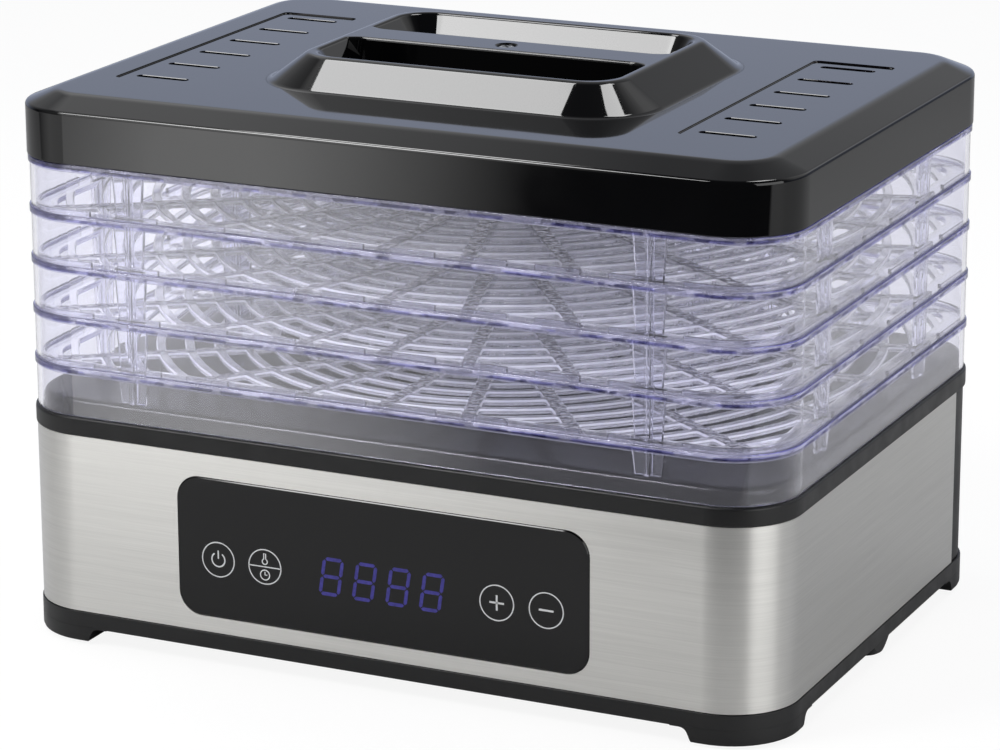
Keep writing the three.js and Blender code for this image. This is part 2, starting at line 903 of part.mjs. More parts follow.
const cutoutY = micaThickness / 2 + restGap + cutout.d / 2;
add("thermal_cutout", boxOn({ ...cutout, y: cutoutY }, heaterBottom + restGap), "white");
const sensorX = ductInner - 2 * restGap - sensor.w / 2;
add(
  "temperature_sensor",
  boxOn({ ...sensor, x: sensorX, y: 0 }, deckCeiling - restGap - sensor.h),
  "white",
);

// A lead of round section along a smooth curve through points.
function lead(points, radius, steps) {
  const path = new THREE.CatmullRomCurve3(points.map((p) => new THREE.Vector3(...p)));
  const section = new THREE.Shape(
    new THREE.EllipseCurve(0, 0, radius, radius).getPoints(leadSides).slice(0, leadSides),
  );
  return solid(
    new THREE.ExtrudeGeometry(section, { steps, bevelEnabled: false, extrudePath: path }),
  );
}
const leads = {
  motor_lead: [
    [leadX, -12, onBoard],
    [leadX + leadLean, -12, onBoard + 8],
    [leadHalfway, -2, leadNotch + 3],
    [-ductInner, 0, leadNotch + 3],
    [-motorRadius - 19, 0, leadNotch + 2],
    [-motorRadius - restGap, 0, leadNotch + leadRadius],
  ],
  heater_lead: [
    [leadX, 8, onBoard],
    [leadX + leadLean, 8, onBoard + 14],
    [leadHalfway - 6, 4, heaterLeadHeight - 14],
    [-ductOuter - 14, 0, heaterLeadHeight],
    [-ductInner - restGap, 0, heaterLeadHeight],
  ],
  panel_lead: [
    [leadX, -46, onBoard + restGap],
    [leadX + leadLean, -48, onBoard + 9],
    [(leadX + panelLeadX) / 2, boardBack + 31, onBoard + 16],
    [panelLeadX - 2, boardBack + 11, panelLeadHeight],
    [panelLeadX, boardBack + restGap, panelLeadHeight],
  ],
};
for (const [name, points] of Object.entries(leads)) {
  add(name, lead(points, leadRadius, leadSteps), "rubber");
}

// ---------------------------------------------------------------- trays

const floorInside = {
  x: width / 2 - skirtInset - skirtWall - slotMargin,
  y: depth / 2 - skirtInset - skirtWall - slotMargin,
};
const cornerCut = floorInside.x + floorInside.y - slotCornerMargin;
const insideFloor = (p) =>
  Math.abs(p.x) <= floorInside.x &&
  Math.abs(p.y) <= floorInside.y &&
  Math.abs(p.x) + Math.abs(p.y) <= cornerCut;

function leg({ x, y, along }, sx, sy, top, bottom) {
  const half = legWidth / 2;
  const outline = [
    [-half + legTaper, bottom],
    [half - legTaper, bottom],
    [half, top],
    [-half, top],
  ];
  const t = legThickness / 2;
  const make = along === "x" ? prismY : prismX;
  const place = along === "x" ? [sx * x, sy * y] : [sy * y, sx * x];
  const points = outline.map(([u, z]) => new THREE.Vector2(u + place[0], z));
  return make(points, place[1] - t, place[1] + t);
}

function tray(top, below) {
  const rimBottom = top - rimHeight;
  const bottom = top - trayPitch + restGap;
  const inner = skirtInset + skirtWall;
  const lipOuter = inner + restGap;
  const floorBottom = top - trayFloor;
  let part = union(
    shell(skirtInset, inner, bottom, top),
    shell(trayInset, inner, rimBottom, top),
    shell(lipOuter, lipOuter + lipWall, floorBottom, top + lipHeight),
    body(skirtInset + sink, floorBottom, top),
  );
  const slots = ringSlots({
    first: firstSlot,
    pitch: slotPitch,
    slot: slotWidth,
    rings: slotRings,
    sectors: slotSectors,
    rib: slotRib,
    keep: insideFloor,
  });
  part = cutSlots(part, slots, floorBottom - over, top + over);
  for (const place of legPlaces) {
    for (const [sx, sy] of corners) {
      part = part.add(leg(place, sx, sy, floorBottom + sink, below + restGap));
    }
  }
  return part;
}

for (let level = 1; level <= trayCount; level++) {
  const top = lidBottom - (level - 1) * trayPitch;
  const below = level === trayCount ? plateauTop : top - trayPitch;
  add(`tray_${level}`, tray(top, below), "clear");
}

// ---------------------------------------------------------------- lid

function lidShell() {
  const bottom = lidBottom + restGap;
  const top = tapered({
    w: width,
    d: depth,
    r: cornerRadius,
    z0: lidShoulder,
    z1: lidTop,
    inset: chamferRun,
  });
  let lid = union(body(0, bottom, lidShoulder), top);
  const inside = body(lidWall, bottom - over, lidShoulder - lidPlate);
  const ceiling = tapered({
    w: width - 2 * lidWall,
    d: depth - 2 * lidWall,
    r: cornerRadius - lidWall,
    z0: lidShoulder - lidPlate,
    z1: lidTop - lidPlate,
    inset: chamferRun,
  });
  lid = cut(lid, inside, ceiling);
  const below = lidTop - lidPlate - over;
  const bossTop = lidTop + handleBossHeight;
  const ventHalf = { x: ventLength / 2, y: ventWidth / 2 };
  const strip = barHollow - restGap; // stays under the bar and carries the screw
  const hole = basinOuterAt(lidTop);
  for (const side of [-1, 1]) {
    const x = side * ventX;
    const field = roundedOutline(ventFieldLength, ventFieldWidth, ventFieldRadius, 1);
    lid = lid.subtract(prism(field, lidTop - ventFieldDepth, lidTop + over, x, 0));
    for (let i = 0; i < ventCount; i++) {
      const y = (i - (ventCount - 1) / 2) * ventPitch;
      const [x0, x1] = [x - ventHalf.x, x + ventHalf.x];
      lid = lid.subtract(block(x0, x1, y - ventHalf.y, y + ventHalf.y, below, lidTop));
    }
    const [y0, y1] = side < 0 ? [-hole.y, -strip] : [strip, hole.y];
    lid = lid.subtract(block(-hole.x, hole.x, y0, y1, below, lidTop + over));
  }
  lid = lid.add(disc(bossRadius, lidTop - lidPlate, bossTop));
  return lid.subtract(screwHole(below, bossTop + over));
}

// Half sizes of the hole that clears the basin at a height.
function basinOuterAt(z) {
  const inset = (basinTaper * (handleTop - z)) / (basinDepth + basinWall);
  const grow = basinWall + restGap;
  return { x: basin.x + grow - inset, y: basin.y + grow - inset };
}

// The basin as a solid, or its outside when grow is the wall.
function basinShape(grow, top) {
  return tapered({
    w: 2 * (basin.x + grow - basinTaper),
    d: 2 * (basin.y + grow - basinTaper),
    r: basinRadius + grow - basinTaper,
    z0: basinFloor - grow,
    z1: top,
    inset: -basinTaper,
  });
}

function lidHandle() {
  const { x, y, r } = handleBase;
  const mound = tapered({
    w: 2 * x,
    d: 2 * y,
    r,
    z0: handleBottom,
    z1: handleTop,
    inset: handleInset,
  });
  const hollow = tapered({
    w: 2 * (x - handleWall),
    d: 2 * (y - handleWall),
    r: r - handleWall,
    z0: handleBottom - over,
    z1: handleTop - handleWall,
    inset: handleInset,
  });
  const inside = basinShape(0, handleTop + sliver);
  const shellWithBasin = cut(mound, hollow).add(basinShape(basinWall, handleTop - restGap));
  const bar = block(-x, x, -barHalfWidth, barHalfWidth, basinFloor - over, handleTop).intersect(inside);
  const hole = basinOuterAt(handleBottom);
  const floorX = basin.x - basinTaper;
  const socketRadius = barHollow - over;
  const socket = disc(socketRadius, handleTop - handleSocket, handleTop - sink, 0, 0, roundSides);
  const hollowed = cut(
    union(cut(shellWithBasin, inside), bar),
    block(-floorX, floorX, -barHollow, barHollow, 0, handleTop - handleWall),
    block(-hole.x, hole.x, -barHollow, barHollow, 0, handleBottom),
  );
  const sunk = handleScrewHead + restGap;
  return cut(
    hollowed.add(socket),
    disc(sunk, handleTop - handleScrewSink, handleTop + over, 0, 0, roundSides),
    screwHole(handleBottom, handleTop + over),
  );
}
add("lid_shell", lidShell(), "glossBlack");
add("lid_handle", lidHandle(), "glossBlack");

const handleScrewSeat = handleTop - handleScrewSink + restGap;
const handleScrewTop = handleScrewSeat + screwHeadHeight;
add(
  "handle_screw",
  union(
    disc(handleScrewHead, handleScrewSeat, handleScrewTop, 0, 0, roundSides),
    disc(screwRadius, lidTop - lidPlate + restGap, handleScrewSeat + sink, 0, 0, screwSides),
  ),
  "zinc",
);

export default dehydrator;
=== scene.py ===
import json
import math
import bpy
import bmesh
from mathutils import Matrix, Vector


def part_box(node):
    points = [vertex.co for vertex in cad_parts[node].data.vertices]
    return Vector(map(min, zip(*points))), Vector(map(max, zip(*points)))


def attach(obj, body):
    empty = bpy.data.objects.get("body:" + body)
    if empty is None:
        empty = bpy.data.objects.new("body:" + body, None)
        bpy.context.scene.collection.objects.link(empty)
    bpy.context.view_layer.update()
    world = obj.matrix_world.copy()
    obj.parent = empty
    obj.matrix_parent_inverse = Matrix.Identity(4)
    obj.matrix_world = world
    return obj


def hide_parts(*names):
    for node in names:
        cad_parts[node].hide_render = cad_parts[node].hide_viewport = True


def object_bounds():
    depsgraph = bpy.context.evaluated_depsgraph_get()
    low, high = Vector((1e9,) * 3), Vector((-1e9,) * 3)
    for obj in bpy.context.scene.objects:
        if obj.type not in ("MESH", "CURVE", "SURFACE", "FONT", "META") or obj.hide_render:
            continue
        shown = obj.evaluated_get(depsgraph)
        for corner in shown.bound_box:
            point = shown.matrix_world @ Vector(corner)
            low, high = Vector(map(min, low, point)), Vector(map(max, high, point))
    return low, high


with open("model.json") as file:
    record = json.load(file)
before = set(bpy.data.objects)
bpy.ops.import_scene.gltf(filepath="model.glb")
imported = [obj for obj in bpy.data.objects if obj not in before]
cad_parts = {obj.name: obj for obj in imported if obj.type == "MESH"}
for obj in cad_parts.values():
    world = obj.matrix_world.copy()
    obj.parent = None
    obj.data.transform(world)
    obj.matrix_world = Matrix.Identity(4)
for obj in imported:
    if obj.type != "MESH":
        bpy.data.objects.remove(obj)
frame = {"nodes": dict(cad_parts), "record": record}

MM = 0.001
cad_bounds = [list(corner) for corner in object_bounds()]
low, high = [[v / MM for v in corner] for corner in cad_bounds]


def place(node):
    """A node's lowest and highest corners at rest, in millimetres."""
    return [[v / MM for v in corner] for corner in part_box(node)]


# ---------- sizes, in millimetres

HALF_X = (high[0] - low[0]) / 2
HALF_Y = (high[1] - low[1]) / 2
FRONT = -HALF_Y
CORNER = 29.0  # radius of the whole outline
GAP = 0.3  # air between pieces that rest on each other
OVER = 1.0  # how far a cutter runs past what it cuts

STEEL_LOW = place("steel_wrap")[0][2]
STEEL_TOP = place("steel_wrap")[1][2] + GAP
STEEL_END = place("steel_wrap")[1][1]
BAND_TOP = STEEL_LOW - GAP
PLATEAU_TOP = place("top_deck")[1][2]
RING_TOP = PLATEAU_TOP - 7.0
DECK_LOW = STEEL_TOP - 7.0
DECK_CEILING = PLATEAU_TOP - 2.2
TUB_FLOOR = place("deck_screw_front_left")[0][2]
TUB_BOTTOM = TUB_FLOOR - 2.5
DUCT_OUTER = place("air_duct")[1][0]
DUCT_INNER = DUCT_OUTER - 3.2
HANDLE_TOP = place("lid_handle")[1][2]
LID_TOP = HANDLE_TOP - 11.4
LID_LOW = place("lid_shell")[0][2]
SHOULDER = LID_TOP - 5.2
LID_WALL = 2.4
LID_PLATE = 2.5
CHAMFER = 12.8


def middle_of(node):
    """The middle of a node seen from above."""
    (x0, y0, _), (x1, y1, _) = place(node)
    return (x0 + x1) / 2, (y0 + y1) / 2


# ---------- outlines and skins


def soften(points, trims, steps=4, closed=False):
    """A line of 2-D points with its corners rounded, each from its trim away from the corner."""
    out = []
    count = len(points)
    for i, (p, trim) in enumerate(zip(points, trims)):
        if trim == 0 or (not closed and i in (0, count - 1)):
            out.append(tuple(p))
            continue
        here, before, after = Vector(p), Vector(points[i - 1]), Vector(points[(i + 1) % count])
        start = here + (before - here).normalized() * trim
        end = here + (after - here).normalized() * trim
        for k in range(steps + 1):
            t = k / steps
            out.append(tuple(start.lerp(here, t).lerp(here.lerp(end, t), t)))
    return out


def ring(half_x, half_y, radius, z, steps=12, ease=1.2):
    """Points round a rounded rectangle, with one more near each end of the straight sides."""
    points = []
    for sx, sy, start in ((1, 1, 0), (-1, 1, 90), (-1, -1, 180), (1, -1, 270)):
        cx, cy = sx * (half_x - radius), sy * (half_y - radius)
        a, b = math.radians(start), math.radians(start + 90)
        turns = [a + (b - a) * i / steps for i in range(steps + 1)]
        bend = [(cx + radius * math.cos(t), cy + radius * math.sin(t), z) for t in turns]
        before = (bend[0][0] + ease * math.sin(a), bend[0][1] - ease * math.cos(a), z)
        after = (bend[-1][0] - ease * math.sin(b), bend[-1][1] + ease * math.cos(b), z)
        points += [before, *bend, after]
    return points


def body_rings(profile, steps=14):
    """Rings that follow the outline of the whole object, one for each (inset, z) of a profile."""
    return [ring(HALF_X - i, HALF_Y - i, CORNER - i, z, steps) for i, z in profile]


def past_outline(x, y):
    """How far a point is outside the body's rounded outline. It is less than nothing inside it."""
    dx, dy = abs(x) - HALF_X + CORNER, abs(y) - HALF_Y + CORNER
    return math.hypot(max(dx, 0), max(dy, 0)) + min(max(dx, dy), 0) - CORNER


def circle(radius, z, sides=32, x=0.0, y=0.0):
    """Points round a level circle."""
    turns = [2 * math.pi * i / sides for i in range(sides)]
    return [(x + radius * math.cos(t), y + radius * math.sin(t), z) for t in turns]


def loft(rings, closed=False):
    """A skin over rings of as many points each, capped at both ends unless it closes on itself."""
    n = len(rings[0])
    verts = [p for r in rings for p in r]
    faces = []
    for k in range(len(rings) if closed else len(rings) - 1):
        a, b = k * n, ((k + 1) % len(rings)) * n
        faces += [(a + i, a + (i + 1) % n, b + (i + 1) % n, b + i) for i in range(n)]
    if not closed:
        faces.append(tuple(range(n - 1, -1, -1)))
        faces.append(tuple(range((len(rings) - 1) * n, len(rings) * n)))
    return verts, faces


def box_part(x0, x1, y0, y1, z0, z1):
    """A box between two corners."""
    return loft([[(x1, y0, z), (x1, y1, z), (x0, y1, z), (x0, y0, z)] for z in (z0, z1)])


def disc(radius, z0, z1, x=0.0, y=0.0, sides=32):
    """A flat round solid between two heights."""
    return loft([circle(radius, z, sides, x, y) for z in (z0, z1)])


def turned(profile, sides=40, x=0.0, y=0.0):
    """A solid of revolution about an upright line, from (radius, z) pairs."""
    return loft([circle(r, z, sides, x, y) for r, z in profile])


def moved(part, x=0.0, y=0.0, z=0.0, turn=Matrix.Identity(3)):
    """A part turned about the origin, then moved."""
    verts, faces = part
    turned_verts = [turn @ Vector(v) for v in verts]
    return [(v.x + x, v.y + y, v.z + z) for v in turned_verts], faces


def join(parts):
    """Several parts as one."""
    verts, faces = [], []
    for part_verts, part_faces in parts:
        base = len(verts)
        verts += part_verts
        faces += [tuple(base + i for i in face) for face in part_faces]
    return verts, faces


FRONTWARD = Matrix.Rotation(math.pi / 2, 3, "X")  # turns a flat part's +Z to -Y, to the front


def rod(radius, y0, y1, x, z, sides=32):
    """A round bar that lies along Y."""
    return moved(disc(radius, -y1, -y0, sides=sides), x, 0, z, FRONTWARD)


def stroke(points, width, low_z, high_z, closed=False):
    """A flat line of even width along 2-D points."""
    n = len(points)
    left, right = [], []
    for i, p in enumerate(points):
        before = points[i - 1] if closed or i > 0 else p
        after = points[(i + 1) % n] if closed or i < n - 1 else p
        along = (Vector(after) - Vector(before)).normalized()
        side = Vector((-along.y, along.x)) * width / 2
        left.append(Vector(p) + side)
        right.append(Vector(p) - side)
    if closed:
        levels = ((left, low_z), (left, high_z), (right, high_z), (right, low_z))
        return loft([[(q.x, q.y, z) for q in line] for line, z in levels], closed=True)
    outline = left + right[::-1]
    return loft([[(q.x, q.y, z) for q in outline] for z in (low_z, high_z)])


def arc(radius, start, end, x=0.0, y=0.0, steps=32):
    """Points along a part of a circle, between two angles in degrees."""
    turns = [math.radians(start + (end - start) * i / steps) for i in range(steps + 1)]
    return [(x + radius * math.cos(t), y + radius * math.sin(t)) for t in turns]


def mesh_of(part):
    """A part as a mesh in metres, its faces turned outward."""
    verts, faces = part
    mesh = bpy.data.meshes.new("shape")
    mesh.from_pydata([(x * MM, y * MM, z * MM) for x, y, z in verts], [], faces)
    bm = bmesh.new()
    bm.from_mesh(mesh)
    bmesh.ops.recalc_face_normals(bm, faces=bm.faces)
    bm.to_mesh(mesh)
    bm.free()
    return mesh


def part_of(mesh):
    """A mesh as a part again, in millimetres."""
    verts = [tuple(c / MM for c in v.co) for v in mesh.vertices]
    faces = [tuple(p.vertices) for p in mesh.polygons]
    bpy.data.meshes.remove(mesh)
    return verts, faces


def placed(name, data):
    """A new object in the scene."""
    obj = bpy.data.objects.new(name, data)
    bpy.context.scene.collection.objects.link(obj)
    return obj


def combine(mesh, part, operation):
    """A mesh with another closed shape added to it, cut from it or kept in common with it."""
    holder, tool = placed("holder", mesh), placed("tool", mesh_of(part))
    step = holder.modifiers.new("step", "BOOLEAN")
    step.operation = operation
    step.solver = "MANIFOLD"
    step.object = tool
    graph = bpy.context.evaluated_depsgraph_get()
    result = bpy.data.meshes.new_from_object(holder.evaluated_get(graph))
    for obj in (holder, tool):
        old = obj.data
        bpy.data.objects.remove(obj)
        bpy.data.meshes.remove(old)
    return result


def add(mesh, *parts):
    """A mesh with closed parts added to it."""
    for part in parts:
        mesh = combine(mesh, part, "UNION")
    return mesh


def cut(mesh, *parts):
    """A mesh with closed parts cut from it."""
    for part in parts:
        mesh = combine(mesh, part, "DIFFERENCE")
    return mesh


def common(part, other):
    """What two closed parts have in common."""
    return part_of(combine(mesh_of(part), other, "INTERSECT"))


def piece(name, mesh, materials, body, replaced=(), sharp=32, zone=None):
    """A finished piece, smooth but for its sharp edges, that rides on its body.

    Zone says which of the materials a face has, from the middle of the face.
    """
    obj = placed(name, mesh)
    mesh.materials.clear()
    for material in materials:
        mesh.materials.append(material)
    for face in mesh.polygons:
        face.material_index = zone(*(c / MM for c in face.center)) if zone else 0
    mesh.shade_smooth()
    mesh.set_sharp_from_angle(angle=math.radians(sharp))
    obj.modifiers.new("even_normals", "WEIGHTED_NORMAL").keep_sharp = True
    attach(obj, body)
    if replaced:
        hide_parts(*replaced)
    return obj


# ---------- materials


def linear(code):
    """An sRGB hex colour as linear RGBA."""
    channels = [int(code[i : i + 2], 16) / 255 for i in (1, 3, 5)]
    return [c / 12.92 if c <= 0.04045 else ((c + 0.055) / 1.055) ** 2.4 for c in channels] + [1.0]


def node(tree, kind, links=(), **settings):
    """One node with its settings, its inputs set to values or linked to other nodes' outputs."""
    made = tree.nodes.new(kind)
    for key, value in settings.items():
        setattr(made, key, value)
    for key, value in dict(links).items():
        if isinstance(value, bpy.types.NodeSocket):
            tree.links.new(value, made.inputs[key])
        else:
            made.inputs[key].default_value = value
    return made


def surface(name, colour, roughness, **inputs):
    """A new material, its tree, Principled shader and output, and its coordinates in metres."""
    material = bpy.data.materials.new(name)
    material.use_nodes = True
    tree = material.node_tree
    tree.nodes.clear()
    base = {"Base Color": linear(colour), "Roughness": roughness}
    shader = node(tree, "ShaderNodeBsdfPrincipled", base)
    for key, value in inputs.items():
        shader.inputs[key.replace("_", " ")].default_value = value
    output = node(tree, "ShaderNodeOutputMaterial", {"Surface": shader.outputs[0]})
    where = node(tree, "ShaderNodeTexCoord").outputs["Object"]
    return material, tree, shader, where, output


def uneven(look, socket, size, first, second):
    """Lets a socket wander between two colours or numbers, in patches some millimetres wide."""
    tree, shader, where = look
    links = {"Vector": where, "Scale": 1 / (size * MM)}
    patches = node(tree, "ShaderNodeTexNoise", links).outputs["Fac"]
    links = {"Value": patches, "From Min": 0.3, "From Max": 0.7}
    share = node(tree, "ShaderNodeMapRange", links).outputs[0]
    kind = "RGBA" if isinstance(first, list) else "FLOAT"
    mix = node(tree, "ShaderNodeMix", {"Factor": share, "A": first, "B": second}, data_type=kind)
    tree.links.new(mix.outputs["Result"], shader.inputs[socket])


def relief(look, size, depth, detail=2.0):
    """Lets a surface rise and fall by depth millimetres, in lumps about size millimetres wide."""
    tree, shader, where = look
    links = {"Vector": where, "Scale": 1 / (size * MM), "Detail": detail}
    lumps = node(tree, "ShaderNodeTexNoise", links).outputs["Fac"]
    tilt = node(tree, "ShaderNodeBump", {"Height": lumps, "Distance": depth * MM})
    tree.links.new(tilt.outputs[0], shader.inputs["Normal"])


def faded(tree, fades, strength=1.0):
    """A strength times its fades. Each is (value, start, end, share before, share after)."""
    for value, *ends in fades:
        links = dict(zip(("From Min", "From Max", "To Min", "To Max"), ends))
        share = node(tree, "ShaderNodeMapRange", {"Value": value, **links}).outputs[0]
        links = {0: strength, 1: share}
        strength = node(tree, "ShaderNodeMath", links, operation="MULTIPLY").outputs[0]
    return strength


def gloss_black_abs():
    """Gloss black ABS from a polished tool: deep black with sharp reflections, faintly uneven."""
    material, *look, _ = surface("gloss_black_abs", "#050506", 0.05, IOR=1.5)
    uneven(look, "Roughness", 24, 0.03, 0.06)
    uneven(look, "Base Color", 60, linear("#040405"), linear("#070708"))
    relief(look, 38, 0.01, 1.0)
    return material


def satin_black_abs():
    """Black ABS from a spark-eroded tool: a fine matt grain, drawn a little coarse to show."""
    material, *look, _ = surface("satin_black_abs", "#121213", 0.4, IOR=1.5)
    uneven(look, "Roughness", 9, 0.36, 0.46)
    uneven(look, "Base Color", 30, linear("#101011"), linear("#151516"))
    relief(look, 0.6, 0.012, 3.0)
    return material


def charcoal_deck_abs():
    """Charcoal ABS with a half gloss: wide soft reflections of the trays above it."""
    material, *look, _ = surface("charcoal_deck_abs", "#1a1a1b", 0.2, IOR=1.5)
    uneven(look, "Roughness", 15, 0.16, 0.24)
    uneven(look, "Base Color", 50, linear("#18181a"), linear("#1e1e1f"))
    relief(look, 22, 0.01, 1.0)
    return material


def brushed_steel():
    """Stainless steel sheet brushed level: fine streaks that spread the light up and down."""
    settings = {"Metallic": 1.0, "Anisotropic": 0.75, "Anisotropic_Rotation": 0.25}
    material, tree, shader, where, _ = surface("brushed_steel", "#deddd9", 0.34, **settings)
    streaks = []
    for size, stretch in ((0.5, 70), (3.5, 50)):  # height of a streak, and how much longer it is
        scale = [1 / (stretch * size * MM), 1 / (stretch * size * MM), 1 / (size * MM)]
        drawn = node(tree, "ShaderNodeMapping", {"Vector": where, "Scale": scale}).outputs[0]
        noise = node(tree, "ShaderNodeTexNoise", {"Vector": drawn, "Scale": 1.0})
        streaks.append(noise.outputs["Fac"])
    links = {"Factor": 0.4, "A": streaks[0], "B": streaks[1]}
    both = node(tree, "ShaderNodeMix", links).outputs["Result"]
    share = faded(tree, [(both, 0.3, 0.7, 0.0, 1.0)])
    ranges = (("Roughness", 0.3, 0.38), ("Base Color", linear("#dad9d5"), linear("#e7e6e2")))
    for socket, first, second in ranges:
        kind = "RGBA" if socket == "Base Color" else "FLOAT"
        links = {"Factor": share, "A": first, "B": second}
        mix = node(tree, "ShaderNodeMix", links, data_type=kind)
        tree.links.new(mix.outputs["Result"], shader.inputs[socket])
    around = node(tree, "ShaderNodeTangent", direction_type="RADIAL", axis="Z").outputs[0]
    tree.links.new(around, shader.inputs["Tangent"])
    tilt = node(tree, "ShaderNodeBump", {"Height": streaks[0], "Distance": 0.002 * MM})
    tree.links.new(tilt.outputs[0], shader.inputs["Normal"])
    return material


def black_backed_acrylic():
    """Acrylic panel printed black on its back: near black under a clear polished face."""
    material, *look, _ = surface("black_backed_acrylic", "#060607", 0.06, IOR=1.46)
    uneven(look, "Roughness", 18, 0.05, 0.08)
    uneven(look, "Base Color", 40, linear("#050506"), linear("#080809"))
    return material


def polystyrene(name, colour, roughness, **inputs):
    """Clear moulded polystyrene. Lamps shine through it, so that what lies behind it is lit."""
    material, tree, shader, where, output = surface(name, colour, roughness, IOR=1.55, **inputs)
    clear_way = node(tree, "ShaderNodeBsdfTransparent", {"Color": linear("#f4f4f8")})
    shadow = node(tree, "ShaderNodeLightPath").outputs["Is Shadow Ray"]
    links = {0: shadow, 1: shader.outputs[0], 2: clear_way.outputs[0]}
    mix = node(tree, "ShaderNodeMixShader", links)
    tree.links.new(mix.outputs[0], output.inputs["Surface"])
    return material, tree, shader, where


def clear_wall():
    """The trays' polished walls: almost colourless, with slight flow marks."""
    material, *look = polystyrene("clear_polystyrene", "#f4f4fc", 0.02, Transmission_Weight=1.0)
    relief(look, 16, 0.008)
    return material


def edge_with_painted_shade():
    """The rims, seen along the plastic: a pale violet deeper than the walls' tint, with broken
    violet lines, a violet top line on the sides and a dark band round the front left corner, all
    painted shade for where light runs round inside the plastic.
    """
    settings = {"Transmission_Weight": 0.72}
    material, tree, shader, where = polystyrene("polystyrene_edge_painted_shade", "#d0cff0", 0.05, **settings)
    split = node(tree, "ShaderNodeSeparateXYZ", {"Vector": where}).outputs
    tray_top = (place("tray_5")[1][2] - LIP) * MM
    pitch = (place("tray_4")[1][2] - place("tray_5")[1][2]) * MM
    links = {0: split["Z"], 1: tray_top - 0.05 * MM}
    above = node(tree, "ShaderNodeMath", links, operation="SUBTRACT").outputs[0]
    level = node(tree, "ShaderNodeMath", {0: above, 1: pitch, 2: 0.0}, operation="WRAP").outputs[0]
    aside = node(tree, "ShaderNodeMath", {0: split["X"]}, operation="ABSOLUTE").outputs[0]
    # The level is the pitch at the top of each rim, and less below it.
    # The painted shade dashes lie between these heights of each rim.
    line = [(level, pitch - 2.5 * MM, pitch - 2.3 * MM, 0, 1)]
    line.append((level, pitch - 1.2 * MM, pitch - 1.0 * MM, 1, 0))
    painted_top_line = [(level, pitch - 0.45 * MM, pitch - 0.35 * MM, 0, 0.8)]  # a painted violet line, on the sides only
    painted_top_line.append((aside, 150 * MM, 165 * MM, 0, 1))
    band = [(level, pitch - 2.4 * MM, pitch - 2.2 * MM, 0, 1)]  # painted dark shade round the front left corner
    band.append((split["X"], -141 * MM, -138 * MM, 1, 0))
    band.append((split["Y"], -85 * MM, -75 * MM, 1, 0))
    tint_and_painted_shade = linear("#d0cff0")
    # painted shade: broken violet and dark violet dashes along the rims
    painted_dashes = ((15, 0.46, 0.15, 0.8, "#5452b0"), (7, 0.55, 0.0, 0.85, "#2a2868"))
    for size, start, least, most, code in painted_dashes:
        links = {"Vector": where, "Scale": 1 / (size * MM), "Detail": 1.0}
        lengths = node(tree, "ShaderNodeTexNoise", links).outputs["Fac"]
        share = faded(tree, [*line, (lengths, start, start + 0.03, least, most)])
        links = {"Factor": share, "A": tint_and_painted_shade, "B": linear(code)}
        tint_and_painted_shade = node(tree, "ShaderNodeMix", links, data_type="RGBA").outputs["Result"]
    # mixes in the painted top line and the painted dark corner shade
    for fades, strength, code in ((painted_top_line, 1.0, "#3434e0"), (band, 0.8, "#34326a")):
        links = {"Factor": faded(tree, fades, strength), "A": tint_and_painted_shade, "B": linear(code)}
        tint_and_painted_shade = node(tree, "ShaderNodeMix", links, data_type="RGBA").outputs["Result"]
    tree.links.new(tint_and_painted_shade, shader.inputs["Base Color"])
    relief((tree, shader, where), 5, 0.01)
    return material


def stippled_floor():
    """The trays' slotted floors: clear, with a stipple on the spokes, drawn coarse to show."""
    settings = {"Transmission_Weight": 0.8}
    material, tree, shader, where = polystyrene("stippled_polystyrene", "#f4f4f9", 0.03, **settings)
    split = node(tree, "ShaderNodeSeparateXYZ", {"Vector": where}).outputs
    links = {0: split["Y"], 1: split["X"]}
    turn = node(tree, "ShaderNodeMath", links, operation="ARCTAN2").outputs[0]
    links = {0: turn, 1: SPOKES / math.pi}
    count = node(tree, "ShaderNodeMath", links, operation="MULTIPLY").outputs[0]
    near = node(tree, "ShaderNodeMath", {0: count, 1: 1.0}, operation="PINGPONG").outputs[0]
    links = {0: where, 1: (1, 1, 0)}
    flat = node(tree, "ShaderNodeVectorMath", links, operation="MULTIPLY").outputs[0]
    reach = node(tree, "ShaderNodeVectorMath", {0: flat}, operation="LENGTH").outputs["Value"]
    across = node(tree, "ShaderNodeMath", {0: near, 1: reach}, operation="MULTIPLY").outputs[0]
    width = RIB_HALF * MM * SPOKES / math.pi
    grit = 2.4 * MM  # a real stipple is under a millimetre
    stipple = node(tree, "ShaderNodeTexNoise", {"Vector": where, "Scale": 1 / grit}).outputs["Fac"]
    spoke = faded(tree, [(across, width * 0.85, width, 1.0, 0.0)])
    dull = faded(tree, [(stipple, 0.46, 0.54, 1.0, 0.0)], spoke)
    links = {"Factor": dull, "A": linear("#fdfdff"), "B": linear("#7e7e8c")}
    mix = node(tree, "ShaderNodeMix", links, data_type="RGBA")
    tree.links.new(mix.outputs["Result"], shader.inputs["Base Color"])
    grain = node(tree, "ShaderNodeMath", {0: spoke, 1: stipple}, operation="MULTIPLY").outputs[0]
    tilt = node(tree, "ShaderNodeBump", {"Height": grain, "Distance": 1.0 * MM})
    tree.links.new(tilt.outputs[0], shader.inputs["Normal"])
    return material


def slot_edge_painted_highlight():
    """The slots' rounded edges: whiter and less clear than the floor, a painted highlight for the
    pale lines of light along them.
    """
    material, *look = polystyrene("polystyrene_painted_highlight", "#fcfcff", 0.1, Transmission_Weight=0.15)
    uneven(look, "Base Color", 8, linear("#f2f2fa"), linear("#ffffff"))
    return material


def plain(name, first, second, roughness, size, **inputs):
    """A small piece's finish: two near colours in patches of a given size, and a light grain."""
    material, *look, _ = surface(name, first, roughness, **inputs)
    uneven(look, "Base Color", size, linear(first), linear(second))
    relief(look, size / 4, 0.01)
    return material


